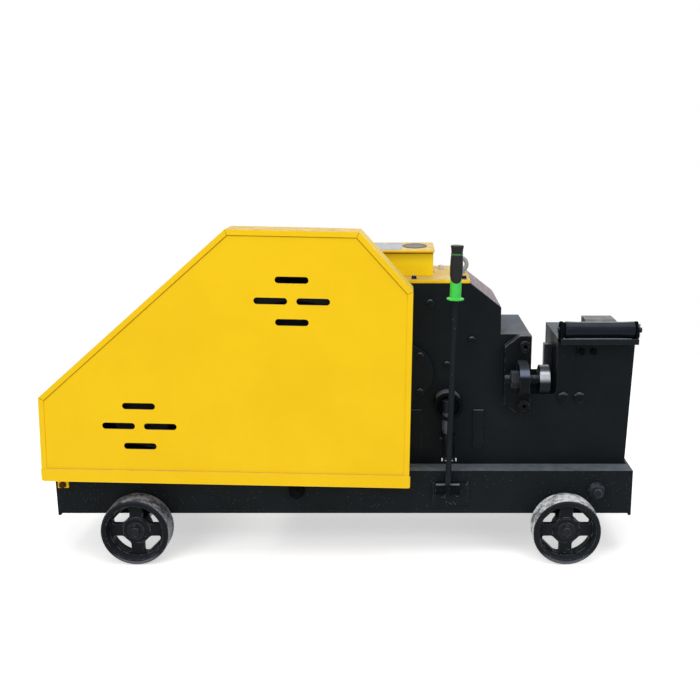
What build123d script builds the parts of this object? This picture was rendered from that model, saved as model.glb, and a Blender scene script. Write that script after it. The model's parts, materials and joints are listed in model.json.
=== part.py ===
"""Mobile steel-bar cutter: gearbox and C-shaped jaw on a wheeled chassis, driven by belts and a flywheel.

Millimetres. +X points to the cutting end, +Y to the back and +Z up.
The origin is on the ground, under the middle of the whole machine.
"""
import os
from math import asin, atan2, cos, degrees, hypot, pi, radians, sin, sqrt, tan

from build123d import *

# Fits and gaps
RUNNING_CLEARANCE = 0.05
SLIDING_CLEARANCE = 0.2
SEAT_CLEARANCE = 0.02
LOOSE_CLEARANCE = 0.3
HOLE_CLEARANCE = 0.5

# Chassis
CHASSIS_LENGTH = 1280.0
CHASSIS_WIDTH = 350.0
CHANNEL_HEIGHT = 100.0
CHANNEL_FLANGE = 48.0
CHANNEL_WEB = 5.3
CHANNEL_LIP = 8.5
END_PLATE = 6.0
END_PLATE_DROP = 5.0

# Wheels and axles
WHEEL_RADIUS = 75.0
WHEEL_WIDTH = 56.0
WHEEL_GAP = 4.0
LEFT_AXLE_INSET = 184.0
RIGHT_AXLE_INSET = 150.0
RIM_THICKNESS = 16.0
SPOKE_WEB = 16.0
SPOKE_WIDTH = 28.0
SPOKE_PAIRS = 2
HUB_RADIUS = 28.0
HUB_SETBACK = 16.0
WINDOW_MARGIN = 3.0
WINDOW_CORNER = 4.0
AXLE_RADIUS = 10.0
AXLE_DROP = 24.0
AXLE_END = 8.0
AXLE_WASHER = 3.0
AXLE_WASHER_RADIUS = 20.0
HANGER_WIDTH = 36.0
HANGER_FOOT = 30.0
HANGER_DROP = 22.0
HANGER_DEPTH = 16.0

# Cast body
BODY_SIDE_GAP = 5.0
BODY_LEFT = -175.0
BODY_BOTTOM = 112.0
BODY_TOP = 608.0
BODY_LEFT_SHOULDER = 500.0
BODY_TOP_LEFT = -60.0
BODY_TOP_RIGHT = 279.0
BODY_NECK_X = 347.0
BODY_NECK_Z = 555.0
RAM_HOUSE_TOP = 496.0
MOUTH_LEFT = 412.0
MOUTH_RIGHT = 473.0
MOUTH_FLOOR = 360.0
MOUTH_FILLET = 10.0
JAW_TOP = 486.0
JAW_RIGHT = 643.0
JAW_FOOT = 633.0
JAW_FOOT_GAP = 3.0
JAW_DEPTH = 197.0
WALL = 18.0
CHAMBER_RIGHT = 318.0
CHAMBER_FLOOR = 130.0
FOOT_WIDTH = 76.0
FOOT_HEIGHT = 68.0
REST_PAD_LEFT = 557.0
REST_PAD_RIGHT = 636.0
REST_PAD_DEPTH = 66.0
REST_PAD_HEIGHT = 16.0
REST_PAD_CORNER = 9.0
SIDE_PAD_WIDTH = 22.0
SIDE_PAD_HEIGHT = 89.0
SIDE_PAD_RELIEF = 5.0
SIDE_PAD_X = 301.0
SIDE_PAD_SPACING = 138.0
SIDE_PAD_Z = 280.0

# Studs that hold the body's feet to the channels
LEFT_STUD_X = -103.0
RIGHT_STUD_INSET = 71.0
STUD_Z = 154.0
STUD_RADIUS = 10.0
STUD_GRIP = 40.0
STUD_WASHER = 3.0
STUD_WASHER_RADIUS = 18.5
STUD_NUT = 16.0
STUD_NUT_FLATS = 30.0
STUD_END = 5.0

# Gear train, crank and connecting rod
DRIVE_Z = 410.0
CRANK_X = 135.0
FLYWHEEL_X = -93.0
FAST_MODULE = 5.0
FAST_PINION_TEETH = 12
FAST_GEAR_TEETH = 48
SLOW_MODULE = 8.0
SLOW_PINION_TEETH = 11
SLOW_GEAR_TEETH = 40
TOOTH_ADDENDUM = 0.9
TOOTH_DEDENDUM = 1.2
TOOTH_ROOT_SHARE = 0.30
TOOTH_TIP_SHARE = 0.11
FAST_GEAR_FRONT = 50.0
FAST_GEAR_WIDTH = 40.0
SLOW_GEAR_WIDTH = 46.0
PINION_OVERLAP = 2.0
DRIVE_SHAFT_RADIUS = 22.0
LAYSHAFT_RADIUS = 24.0
CRANK_RADIUS = 32.0
CRANK_SEAT_RADIUS = 42.0
CRANK_NECK_RADIUS = 38.0
CRANK_NECK = 18.0
SHAFT_END_GAP = 1.0
GEAR_END_GAP = 5.0
BUSH_WALL = 9.0
ECCENTRICITY = 24.0
ECCENTRIC_RADIUS = 60.0
ECCENTRIC_WIDTH = 62.0
ROD_LENGTH = 185.0
ROD_WIDTH = 56.0
ROD_WALL = 20.0
ROD_KNUCKLE = 20.0
ROD_SHANK = 36.0
WRIST_PLAY = 6.0
WRIST_GAP = 2.0
KEY_RADIUS = 11.0
KEY_OFFSET = 34.0

# Rear cover of the gearbox and bearing caps
REAR_COVER = 14.0
REAR_COVER_INSET = 6.0
REAR_COVER_BOTTOM = 206.0
REAR_COVER_RIGHT = 336.0
REAR_COVER_MARGIN = 24.0
REAR_BOLT_MARGIN = 12.0
CRANK_CAP_RADIUS = 66.0
CRANK_CAP = 12.0
CRANK_CAP_BOLT_CIRCLE = 54.0
CRANK_CAP_BOLT_ANGLE = 49.0
CAP_MARGIN = 12.0
CAP = 8.0

# Ram and blades
RAM_HEIGHT = 110.0
RAM_WIDTH = 90.0
RAM_BACK = 250.0
RAM_FRONT = 404.0
RAM_END_GAP = 8.0
BLADE_LENGTH = 70.0
BLADE_HEIGHT = 90.0
BLADE_THICKNESS = 25.0
BLADE_GAP = 0.5
BLADE_LEAD = 6.0
SHEAR_Y = -10.0
FIXED_BLADE_EDGE = 456.0
BLADE_BOLT_RADIUS = 8.0
BLADE_BOLT_LENGTH = 84.0
BLADE_BOLT_HEAD_RADIUS = 13.0
BLADE_BOLT_HEAD = 12.0
BLADE_BOLT_SINK = 1.0

# Flywheel, pulley and belts
FLYWHEEL_RADIUS = 205.0
FLYWHEEL_WIDTH = 62.0
FLYWHEEL_GAP = 23.0
FLYWHEEL_RIM = 32.0
FLYWHEEL_WEB = 20.0
FLYWHEEL_HUB = 42.0
FLYWHEEL_HUB_SHORT = 4.0
PULLEY_RADIUS = 57.5
PULLEY_WIDTH = 46.0
BELTS = 2
BELT_PITCH = 19.0
BELT_WIDTH = 17.0
BELT_DEPTH = 11.0
BELT_PROUD = 1.5
GROOVE_DEPTH = 13.0
GROOVE_ANGLE = 19.0

# Motor
MOTOR_X = -431.0
MOTOR_SHAFT_HEIGHT = 112.0
MOTOR_RADIUS = 92.0
MOTOR_FRONT = -125.0
MOTOR_LENGTH = 275.0
MOTOR_SHIELD = 22.0
MOTOR_SHIELD_RADIUS = 103.0
MOTOR_FINS = 16
MOTOR_FIN_HEIGHT = 9.0
MOTOR_FIN_WIDTH = 4.0
MOTOR_FOOT_SPACING = 190.0
MOTOR_FOOT_WIDTH = 52.0
MOTOR_FOOT = 16.0
MOTOR_FOOT_LENGTH = 180.0
MOTOR_LEG_WIDTH = 26.0
MOTOR_LEG_DROP = 42.0
MOTOR_BOLT_SPACING = 140.0
MOTOR_SHAFT_RADIUS = 14.0
MOTOR_PLATE = 12.0
MOTOR_PLATE_LENGTH = 290.0
TERMINAL_BOX_LENGTH = 110.0
TERMINAL_BOX_WIDTH = 100.0
TERMINAL_BOX_RISE = 150.0
COWL_LENGTH = 66.0
COWL_LAP = 16.0
COWL_WALL = 2.0
COWL_SLOTS = 12
COWL_SLOT_WIDTH = 8.0
COWL_SLOT_LENGTH = 48.0
COWL_SLOT_CIRCLE = 62.0
FAN_RADIUS = 90.0
FAN_HUB = 26.0
FAN_WIDTH = 26.0
FAN_GAP = 12.0
FAN_BLADES = 6
FAN_BLADE = 4.0

# Belt guard
HOOD_CORNER_X = 146.0
HOOD_CORNER_Z = 177.0
HOOD_LEAN = 1.2
HOOD_WIDTH = 796.0
HOOD_HEIGHT = 548.0
HOOD_LEFT_HEIGHT = 184.0
HOOD_RIGHT_HEIGHT = 427.0
HOOD_LEFT_TAPER = 3.4
HOOD_TOP_LEFT = 388.0
HOOD_TOP_RIGHT = 113.0
HOOD_GAP = 13.0
HOOD_DEPTH = 84.0
HOOD_SHEET = 2.0
HOOD_FLANGE = 11.5
HOOD_RAIL = 25.0
HOOD_RAIL_LEG = 18.0
HOOD_RAIL_PROUD = 2.0
HOOD_CHASSIS_GAP = 3.0
HOOD_BODY_GAP = 3.0
HOOD_WINDOW_HEIGHT = 318.0
HOOD_SHAFT_GAP = 6.5
VENT_LENGTH = 70.0
VENT_HEIGHT = 14.0
VENT_PITCH = 44.5
UPPER_VENT_X = -252.0
UPPER_VENT_Z = 402.0
LOWER_VENT_X = -580.0
LOWER_VENT_Z = 125.0
BRACKET_WIDTH = 24.0
BRACKET_SHEET = 4.0
BRACKET_BOTTOM = 160.0
BRACKET_LEDGE = 206.0
BRACKET_TOP = 244.0
BRACKET_BOLT_Z = 168.5
LEFT_BRACKET_INSET = 18.0
RIGHT_BRACKET_X = 126.0

# Top cover, switch box, plug and lifting eye
COVER = 7.0
COVER_LEFT = -55.0
COVER_OPENING_LENGTH = 220.0
COVER_OPENING_WIDTH = 150.0
COVER_BOLT_LEFT = -36.0
COVER_BOLT_MIDDLE = 157.0
COVER_BOLT_RIGHT = 266.0
COVER_BOLT_INSET = 19.0
COVER_BOLT_FLATS = 10.0
SWITCH_BOX_LEFT = 58.0
SWITCH_BOX_RIGHT = 200.0
SWITCH_BOX_FRONT = -56.0
SWITCH_BOX_DEPTH = 161.0
SWITCH_BOX_HEIGHT = 55.0
SWITCH_BOX_SHEET = 2.0
LID_OVERHANG = 3.0
LID_HEIGHT = 5.0
PLUG_X = 222.0
PLUG_Y = 76.0
PLUG_FLATS = 14.0
PLUG_HEAD = 6.0
PLUG_COLLAR_RADIUS = 10.0
PLUG_COLLAR = 3.0
EYE_X = 262.0
EYE_BORE = 10.5
EYE_RADIUS = 20.0
EYE_THICKNESS = 12.0
EYE_EDGE = 3.0
EYE_TOP_Z = 654.0
EYE_COLLAR_RADIUS = 13.0
EYE_COLLAR = 6.0

# Clutch plunger, hand lever and grip
CLUTCH_X = 232.0
CLUTCH_Z = 340.0
CLUTCH_RADIUS = 32.0
CLUTCH_DEPTH = 34.0
CLUTCH_RING = 7.0
CLUTCH_RECESS = 14.0
PLUNGER_STANDOFF = 18.0
PLUNGER_RADIUS = 12.5
PLUNGER_TOP = 352.0
PLUNGER_ROOM = 6.0
PLUNGER_COLLAR_TOP = 284.0
PLUNGER_COLLAR = 8.0
PLUNGER_COLLAR_RADIUS = 10.0
PLUNGER_EYE_Z = 262.0
PLUNGER_TONGUE = 9.0
PLUNGER_TONGUE_WIDTH = 16.0
LINK_PIN_RADIUS = 4.0
LINK_PIN_LENGTH = 34.0
LINK_SPACING = 23.0
LINK_SHEET = 4.5
LINK_BAR = 4.0
LINK_SLACK = 4.3
LEVER_X = 231.5
LEVER_STANDOFF = 15.0
LEVER_PIVOT_Z = 160.0
LEVER_LENGTH = 530.0
LEVER_LEAN = 1.57
LEVER_RADIUS = 6.5
LEVER_FLAT = 8.4
LEVER_FLAT_LENGTH = 34.0
LEVER_EYE_RADIUS = 8.5
LEVER_ROD_START = 16.0
LEVER_PIN_HEIGHT = 70.0
PIVOT_RADIUS = 5.0
LEVER_BASE_LEFT = 200.0
LEVER_BASE_RIGHT = 277.0
LEVER_BASE_BOTTOM = 120.0
LEVER_BASE_TOP = 172.0
LEVER_BASE = 6.0
LEVER_LUG_WIDTH = 22.0
LEVER_LUG_RADIUS = 11.0
GRIP_START = 420.0
GRIP_LENGTH = 118.0
GRIP_CORE_RADIUS = 11.2
GRIP_RADIUS = 13.2
GRIP_FLANGE_RADIUS = 19.5
GRIP_FLANGE = 10.0
GRIP_BARE = 43.0
GRIP_CAP = 16.5
GRIP_RING = 4.5

# Stop bracket and stop screw
STOP_PLATE_LEFT = 354.0
STOP_PLATE_HEIGHT = 176.0
STOP_PLATE = 30.0
STOP_CHAMFER_X = 32.0
STOP_CHAMFER_Z = 25.0
STOP_LUG_LEFT = 381.0
STOP_LUG = 21.0
STOP_LUG_RADIUS = 34.0
STOP_STANDOFF = 35.0
STOP_SCREW_RADIUS = 10.0
STOP_SCREW_LEFT = 351.0
STOP_HEAD_LEFT = 423.0
STOP_HEAD = 23.0
STOP_HEAD_RADIUS = 32.0
STOP_HEAD_EDGE = 2.0
STOP_NUT = 18.5
STOP_NUT_FLATS = 34.0
CAP_SCREW_X = 397.0
CAP_SCREW_SPACING = 132.0
CAP_SCREW_RADIUS = 8.0
CAP_SCREW_HEAD_RADIUS = 12.0
CAP_SCREW_HEAD = 15.0

# Support roller
ROLLER_LEFT = 483.0
ROLLER_LENGTH = 150.0
ROLLER_RADIUS = 19.0
ROLLER_WALL = 3.0
ROLLER_HUB = 16.0
ROLLER_STANDOFF = 24.0
ROLLER_RISE = 24.0
ROLLER_SHAFT_RADIUS = 6.0
ROLLER_SHAFT_LEFT = 467.0
ROLLER_SHAFT_RIGHT = 649.7
CHEEK = 6.0
CHEEK_WIDTH = 38.0
CHEEK_LEFT_GAP = 5.0
CHEEK_RIGHT_GAP = 1.0
TROUGH_SINK = 4.0
TROUGH_SHEET = 4.0
TROUGH_LIP = 12.0
TROUGH_DEPTH = 48.0
ROLLER_TAB_X = 538.0
ROLLER_TAB_WIDTH = 48.0
ROLLER_TAB_HEIGHT = 37.0
ROLLER_TAB_BOLT_DROP = 24.0
ROLLER_TAB_BOLT_SPACING = 26.0

# Hexagon bolt heads
BOLT_FLATS = 13.0
BOLT_HEAD = 8.0
JAW_BOLT_FLATS = 22.0
JAW_BOLT_Z = 353.0
JAW_BOLT_X = 507.0
JAW_BOLT_SPACING = 36.0
SIDE_BOLTS = ((192.0, 566.0), (284.0, 484.0), (230.0, 428.0))

# Planes and heights that follow
chassis_right = JAW_FOOT + JAW_FOOT_GAP + END_PLATE
chassis_left = chassis_right - CHASSIS_LENGTH
chassis_bottom = WHEEL_RADIUS + AXLE_DROP
chassis_top = chassis_bottom + CHANNEL_HEIGHT
web_face = CHASSIS_WIDTH / 2
web_inside = web_face - CHANNEL_WEB
wheel_back = web_face + WHEEL_GAP
wheel_face = wheel_back + WHEEL_WIDTH
hub_face = wheel_face - HUB_SETBACK
washer_face = hub_face + LOOSE_CLEARANCE + AXLE_WASHER
axle_end = washer_face + AXLE_END
body_back = web_face - CHANNEL_FLANGE - BODY_SIDE_GAP
body_front = -body_back
body_depth = 2 * body_back
rear_face = body_back + REAR_COVER
cover_top = BODY_TOP + COVER
motor_z = chassis_top + MOTOR_PLATE + MOTOR_SHAFT_HEIGHT
motor_back = MOTOR_FRONT + MOTOR_LENGTH
flywheel_back = body_front - FLYWHEEL_GAP
flywheel_front = flywheel_back - FLYWHEEL_WIDTH
belt_plane = (flywheel_front + flywheel_back) / 2
drive_shaft_front = flywheel_front + SHAFT_END_GAP
hood_front = flywheel_front - HOOD_GAP
plunger_y = body_front - PLUNGER_STANDOFF
lever_y = -web_face - LEVER_STANDOFF
stop_plate_face = body_front - STOP_PLATE
stop_axis_y = stop_plate_face - STOP_STANDOFF
trough_front = body_front - TROUGH_DEPTH
trough_z = JAW_TOP - TROUGH_SINK
roller_y = body_front - ROLLER_STANDOFF
roller_z = JAW_TOP + ROLLER_RISE
left_axle_x = chassis_left + LEFT_AXLE_INSET
right_axle_x = chassis_right - RIGHT_AXLE_INSET
right_stud_x = JAW_FOOT - RIGHT_STUD_INSET
left_bracket_x = chassis_left + LEFT_BRACKET_INSET
cover_bolt_y = body_back - COVER_BOLT_INSET
axle_places = [(x, WHEEL_RADIUS) for x in (left_axle_x, right_axle_x)]
stud_places = [(x, STUD_Z) for x in (LEFT_STUD_X, right_stud_x)]

# The layshaft stands below the line from flywheel to crank, where its two gear pairs meet
fast_distance = FAST_MODULE * (FAST_PINION_TEETH + FAST_GEAR_TEETH) / 2
slow_distance = SLOW_MODULE * (SLOW_PINION_TEETH + SLOW_GEAR_TEETH) / 2
shaft_distance = CRANK_X - FLYWHEEL_X
layshaft_reach = (fast_distance**2 - slow_distance**2 + shaft_distance**2) / (2 * shaft_distance)
layshaft_x = FLYWHEEL_X + layshaft_reach
layshaft_z = DRIVE_Z - sqrt(fast_distance**2 - layshaft_reach**2)
fast_mesh_angle = atan2(layshaft_z - DRIVE_Z, layshaft_reach)
slow_mesh_angle = atan2(DRIVE_Z - layshaft_z, CRANK_X - layshaft_x)
shafts = (
    (CRANK_X, DRIVE_Z, CRANK_RADIUS),
    (FLYWHEEL_X, DRIVE_Z, DRIVE_SHAFT_RADIUS),
    (layshaft_x, layshaft_z, LAYSHAFT_RADIUS),
)


def facing_front(y):
    """Upright plane at depth y that looks to the front: sketch x is X and sketch y is Z."""
    return Plane.XZ.offset(-y)


def facing_right(x):
    """Upright plane at length x that looks to the cutting end: sketch x is Y and sketch y is Z."""
    return Plane.YZ.offset(x)


def level(z):
    """Level plane at height z."""
    return Plane.XY.offset(z)


def hexagon(flats):
    """Corner radius of a hexagon from the size over its flats."""
    return flats / sqrt(3)


def turn(x, z, front, back, radius, mode=Mode.ADD):
    """Cylinder along Y for the piece being built."""
    with BuildSketch(facing_front(front)) as disc:
        with Locations((x, z)):
            Circle(radius)
    extrude(disc.sketch, amount=front - back, mode=mode)


def gear(x, z, front, back, teeth, module, tooth_angle):
    """Toothed cylinder along Y for the piece being built, with one tooth at tooth_angle."""
    pitch_angle = 2 * pi / teeth
    root = module * (teeth / 2 - TOOTH_DEDENDUM)
    tip = module * (teeth / 2 + TOOTH_ADDENDUM)
    corners = (
        (root, -TOOTH_ROOT_SHARE),
        (tip, -TOOTH_TIP_SHARE),
        (tip, TOOTH_TIP_SHARE),
        (root, TOOTH_ROOT_SHARE),
    )
    outline = []
    for tooth in range(teeth):
        for radius, share in corners:
            angle = tooth_angle + (tooth + share) * pitch_angle
            outline.append((x + radius * cos(angle), z + radius * sin(angle)))
    with BuildSketch(facing_front(front)) as blank:
        with BuildLine():
            Polyline(*outline, close=True)
        make_face()
    extrude(blank.sketch, amount=front - back)


def save(builder, name):
    """Name a finished piece and write it."""
    builder.part.label = name
    export_step(builder.part, f"parts/{name}.step")


os.makedirs("parts", exist_ok=True)


# Chassis channels, web outwards
def make_channel(side):
    web_middle = side * (web_face - CHANNEL_WEB / 2)
    flange_middle = side * (web_face - CHANNEL_FLANGE / 2)
    middle_z = chassis_bottom + CHANNEL_HEIGHT / 2
    lip_offset = (CHANNEL_HEIGHT - CHANNEL_LIP) / 2
    with BuildPart() as channel:
        with BuildSketch(facing_right(chassis_left + END_PLATE)):
            with Locations((web_middle, middle_z)):
                Rectangle(CHANNEL_WEB, CHANNEL_HEIGHT)
            with Locations((flange_middle, middle_z - lip_offset), (flange_middle, middle_z + lip_offset)):
                Rectangle(CHANNEL_FLANGE, CHANNEL_LIP)
        extrude(amount=CHASSIS_LENGTH - 2 * END_PLATE)
        with BuildSketch(facing_front(side * web_face)):
            with Locations(*stud_places):
                Circle(STUD_RADIUS + HOLE_CLEARANCE)
        extrude(amount=side * CHANNEL_WEB, mode=Mode.SUBTRACT)
    return channel


save(make_channel(-1), "channel_front")
save(make_channel(1), "channel_rear")

# Plates across the chassis ends, a little deeper than the channels
with BuildPart() as end_plates:
    end_plate_height = CHANNEL_HEIGHT + END_PLATE_DROP
    with BuildSketch(level(chassis_top)):
        with Locations((chassis_left + END_PLATE / 2, 0), (chassis_right - END_PLATE / 2, 0)):
            Rectangle(END_PLATE, CHASSIS_WIDTH)
    extrude(amount=-end_plate_height)
save(end_plates, "end_plates")

# Axle hangers: tapered blocks under the channels
with BuildPart() as axle_hangers:
    for side in (-1, 1):
        with BuildSketch(facing_front(side * web_face)):
            for x, z in axle_places:
                with BuildLine():
                    Polyline(
                        (x - HANGER_WIDTH / 2, chassis_bottom),
                        (x - HANGER_FOOT / 2, z - HANGER_DROP),
                        (x + HANGER_FOOT / 2, z - HANGER_DROP),
                        (x + HANGER_WIDTH / 2, chassis_bottom),
                        close=True,
                    )
                make_face()
            with Locations(*axle_places):
                Circle(AXLE_RADIUS + SEAT_CLEARANCE, mode=Mode.SUBTRACT)
        extrude(amount=side * HANGER_DEPTH)
save(axle_hangers, "axle_hangers")

# Axles, right through under the chassis
with BuildPart() as axles:
    with BuildSketch(facing_front(-axle_end)):
        with Locations(*axle_places):
            Circle(AXLE_RADIUS)
    extrude(amount=-2 * axle_end)
save(axles, "axles")

# Washers outside the wheels
with BuildPart() as axle_washers:
    for side in (-1, 1):
        with BuildSketch(facing_front(side * washer_face)):
            with Locations(*axle_places):
                Circle(AXLE_WASHER_RADIUS)
                Circle(AXLE_RADIUS + SEAT_CLEARANCE, mode=Mode.SUBTRACT)
        extrude(amount=side * AXLE_WASHER)
save(axle_washers, "axle_washers")


# Cast wheels: rim, hub and a recessed web with windows between the spokes
def make_wheel(x, side):
    rim_bore = WHEEL_RADIUS - RIM_THICKNESS
    recess = (WHEEL_WIDTH - SPOKE_WEB) / 2
    middle = side * (wheel_back + WHEEL_WIDTH / 2)
    front = min(side * wheel_back, side * wheel_face)
    hub_front = min(side * (web_face + LOOSE_CLEARANCE), side * hub_face)
    hub_back = max(side * (web_face + LOOSE_CLEARANCE), side * hub_face)
    with BuildPart() as wheel:
        turn(x, WHEEL_RADIUS, front, front + WHEEL_WIDTH, WHEEL_RADIUS)
        turn(x, WHEEL_RADIUS, front, front + recess, rim_bore, Mode.SUBTRACT)
        turn(x, WHEEL_RADIUS, front + WHEEL_WIDTH - recess, front + WHEEL_WIDTH, rim_bore, Mode.SUBTRACT)
        with BuildSketch(Plane((x, middle, WHEEL_RADIUS), x_dir=(1, 0, 0), z_dir=(0, -1, 0))) as windows:
            Circle(rim_bore - WINDOW_MARGIN)
            Circle(HUB_RADIUS + WINDOW_MARGIN, mode=Mode.SUBTRACT)
            with PolarLocations(0, SPOKE_PAIRS, angular_range=180):
                Rectangle(2 * WHEEL_RADIUS, SPOKE_WIDTH, mode=Mode.SUBTRACT)
            chamfer(windows.vertices(), WINDOW_CORNER)
        extrude(amount=SPOKE_WEB, both=True, mode=Mode.SUBTRACT)
        turn(x, WHEEL_RADIUS, hub_front, hub_back, HUB_RADIUS)
        turn(x, WHEEL_RADIUS, hub_front, hub_back, AXLE_RADIUS + RUNNING_CLEARANCE, Mode.SUBTRACT)
    return wheel


for end, axle_x in (("left", left_axle_x), ("right", right_axle_x)):
    for row, side in (("front", -1), ("rear", 1)):
        save(make_wheel(axle_x, side), f"wheel_{row}_{end}")

# Studs in the body's feet, each with its washer and nut outside the channel
with BuildPart() as foot_studs:
    washer_end = web_face + STUD_WASHER
    nut_end = washer_end + STUD_NUT
    stud_end = nut_end + STUD_END
    for side in (-1, 1):
        with BuildSketch(facing_front(side * stud_end)):
            with Locations(*stud_places):
                Circle(STUD_RADIUS)
        extrude(amount=side * (stud_end - web_inside + STUD_GRIP))
        with BuildSketch(facing_front(side * washer_end)):
            with Locations(*stud_places):
                Circle(STUD_WASHER_RADIUS)
        extrude(amount=side * STUD_WASHER)
        with BuildSketch(facing_front(side * nut_end)):
            with Locations(*stud_places):
                RegularPolygon(hexagon(STUD_NUT_FLATS), 6)
        extrude(amount=side * STUD_NUT)
save(foot_studs, "foot_studs")


def gearbox_outline(inset, floor, right):
    """Gearbox end of the body's side view, drawn in by inset, from floor up and out to right."""
    neck_slope = (BODY_TOP - BODY_NECK_Z) / (BODY_NECK_X - BODY_TOP_RIGHT)
    shoulder_slope = (BODY_TOP - BODY_LEFT_SHOULDER) / (BODY_TOP_LEFT - BODY_LEFT)
    neck_drop = inset * sqrt(1 + neck_slope**2)
    shoulder_drop = inset * sqrt(1 + shoulder_slope**2)
    return (
        (BODY_LEFT + inset, floor),
        (right, floor),
        (right, BODY_TOP - neck_slope * (right - BODY_TOP_RIGHT) - neck_drop),
        (BODY_TOP_RIGHT - (neck_drop - inset) / neck_slope, BODY_TOP - inset),
        (BODY_TOP_LEFT + (shoulder_drop - inset) / shoulder_slope, BODY_TOP - inset),
        (BODY_LEFT + inset, BODY_LEFT_SHOULDER + shoulder_slope * inset - shoulder_drop),
    )


# Cast body: gearbox, ram housing and cutting jaw in one piece
moving_blade_y = SHEAR_Y + BLADE_GAP + BLADE_THICKNESS / 2
fixed_blade_y = SHEAR_Y - BLADE_THICKNESS / 2
cover_middle_x = (BODY_TOP_LEFT + BODY_TOP_RIGHT) / 2
jaw_back = body_front + JAW_DEPTH
with BuildPart() as gearbox_housing:
    with BuildSketch(facing_front(body_front)):
        with BuildLine():
            Polyline(
                (BODY_LEFT, BODY_BOTTOM),
                (JAW_FOOT, BODY_BOTTOM),
                (JAW_FOOT, chassis_top),
                (JAW_RIGHT, JAW_TOP),
                (MOUTH_RIGHT, JAW_TOP),
                (MOUTH_RIGHT, MOUTH_FLOOR),
                (MOUTH_LEFT, MOUTH_FLOOR),
                (MOUTH_LEFT, RAM_HOUSE_TOP),
                (BODY_NECK_X, RAM_HOUSE_TOP),
                (BODY_NECK_X, BODY_NECK_Z),
                (BODY_TOP_RIGHT, BODY_TOP),
                (BODY_TOP_LEFT, BODY_TOP),
                (BODY_LEFT, BODY_LEFT_SHOULDER),
                close=True,
            )
        make_face()
    extrude(amount=-body_depth)
    level_faces = gearbox_housing.faces().filter_by(Axis.Z)
    floor_faces = level_faces.filter_by(lambda face: face.center().Z == MOUTH_FLOOR)
    fillet(floor_faces.edges().filter_by(Axis.Y), MOUTH_FILLET)
    with BuildSketch(facing_front(body_front + WALL)):
        with BuildLine():
            Polyline(*gearbox_outline(WALL, CHAMBER_FLOOR, CHAMBER_RIGHT), close=True)
        make_face()
    extrude(amount=2 * WALL - body_depth, mode=Mode.SUBTRACT)
    with BuildSketch(facing_front(body_back)):
        with BuildLine():
            Polyline(*gearbox_outline(REAR_COVER_INSET, REAR_COVER_BOTTOM, REAR_COVER_RIGHT), close=True)
        make_face()
        offset(amount=-REAR_COVER_MARGIN, kind=Kind.INTERSECTION)
    extrude(amount=WALL, mode=Mode.SUBTRACT)
    with BuildSketch(level(BODY_TOP)):
        with Locations((cover_middle_x, 0)):
            Rectangle(COVER_OPENING_LENGTH, COVER_OPENING_WIDTH)
    extrude(amount=-WALL, mode=Mode.SUBTRACT)
    for shaft_x, shaft_z, shaft_radius in shafts:
        bush_seat = shaft_radius + BUSH_WALL + SEAT_CLEARANCE
        turn(shaft_x, shaft_z, body_front, body_front + WALL, bush_seat, Mode.SUBTRACT)
    with BuildSketch(facing_right(CHAMBER_RIGHT)):
        with Locations((0, DRIVE_Z)):
            Rectangle(RAM_WIDTH + 2 * SLIDING_CLEARANCE, RAM_HEIGHT + 2 * SLIDING_CLEARANCE)
    ram_end = RAM_FRONT + 2 * ECCENTRICITY + RAM_END_GAP
    extrude(amount=ram_end - CHAMBER_RIGHT, mode=Mode.SUBTRACT)
    with BuildSketch(facing_right(FIXED_BLADE_EDGE)):
        with Locations((fixed_blade_y, DRIVE_Z)):
            Rectangle(BLADE_THICKNESS + 2 * SEAT_CLEARANCE, BLADE_HEIGHT + 2 * SEAT_CLEARANCE)
    extrude(amount=BLADE_LENGTH, mode=Mode.SUBTRACT)
    for side in (-1, 1):
        with BuildSketch(facing_front(side * web_inside)):
            with Locations(*stud_places):
                Rectangle(FOOT_WIDTH, FOOT_HEIGHT)
        extrude(amount=side * (web_inside - body_back))
        with BuildSketch(facing_front(side * web_inside)):
            with Locations(*stud_places):
                Circle(STUD_RADIUS + SEAT_CLEARANCE)
        extrude(amount=side * STUD_GRIP, mode=Mode.SUBTRACT)
    with BuildSketch(facing_front(body_front)):
        with Locations((SIDE_PAD_X, SIDE_PAD_Z), (SIDE_PAD_X - SIDE_PAD_SPACING, SIDE_PAD_Z)):
            Rectangle(SIDE_PAD_WIDTH, SIDE_PAD_HEIGHT)
    extrude(amount=SIDE_PAD_RELIEF)
    with BuildSketch(level(JAW_TOP)):
        with Locations((JAW_RIGHT, (jaw_back + body_back) / 2)):
            Rectangle(2 * (JAW_RIGHT - MOUTH_RIGHT + MOUTH_FILLET), body_back - jaw_back)
    extrude(amount=MOUTH_FLOOR - JAW_TOP, mode=Mode.SUBTRACT)
    with BuildSketch(facing_right(REST_PAD_LEFT)):
        with BuildLine():
            Polyline(
                (jaw_back, JAW_TOP),
                (jaw_back, JAW_TOP + REST_PAD_HEIGHT),
                (jaw_back - REST_PAD_DEPTH + REST_PAD_HEIGHT, JAW_TOP + REST_PAD_HEIGHT),
                (jaw_back - REST_PAD_DEPTH, JAW_TOP),
                close=True,
            )
        make_face()
    extrude(amount=REST_PAD_RIGHT - REST_PAD_LEFT)
    pad_edges = gearbox_housing.edges().filter_by(Axis.Y).filter_by(lambda edge: edge.center().Z > JAW_TOP)
    chamfer(pad_edges.filter_by(lambda edge: edge.center().X == REST_PAD_RIGHT), REST_PAD_CORNER)
save(gearbox_housing, "gearbox_housing")

# Rear cover of the gearbox, bored for the shafts' rear journals
with BuildPart() as gearbox_rear_cover:
    with BuildSketch(facing_front(body_back)):
        with BuildLine():
            Polyline(*gearbox_outline(REAR_COVER_INSET, REAR_COVER_BOTTOM, REAR_COVER_RIGHT), close=True)
        make_face()
    extrude(amount=-REAR_COVER)
    for shaft_x, shaft_z, shaft_radius in shafts:
        turn(shaft_x, shaft_z, body_back, rear_face, shaft_radius + RUNNING_CLEARANCE, Mode.SUBTRACT)
save(gearbox_rear_cover, "gearbox_rear_cover")

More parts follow.
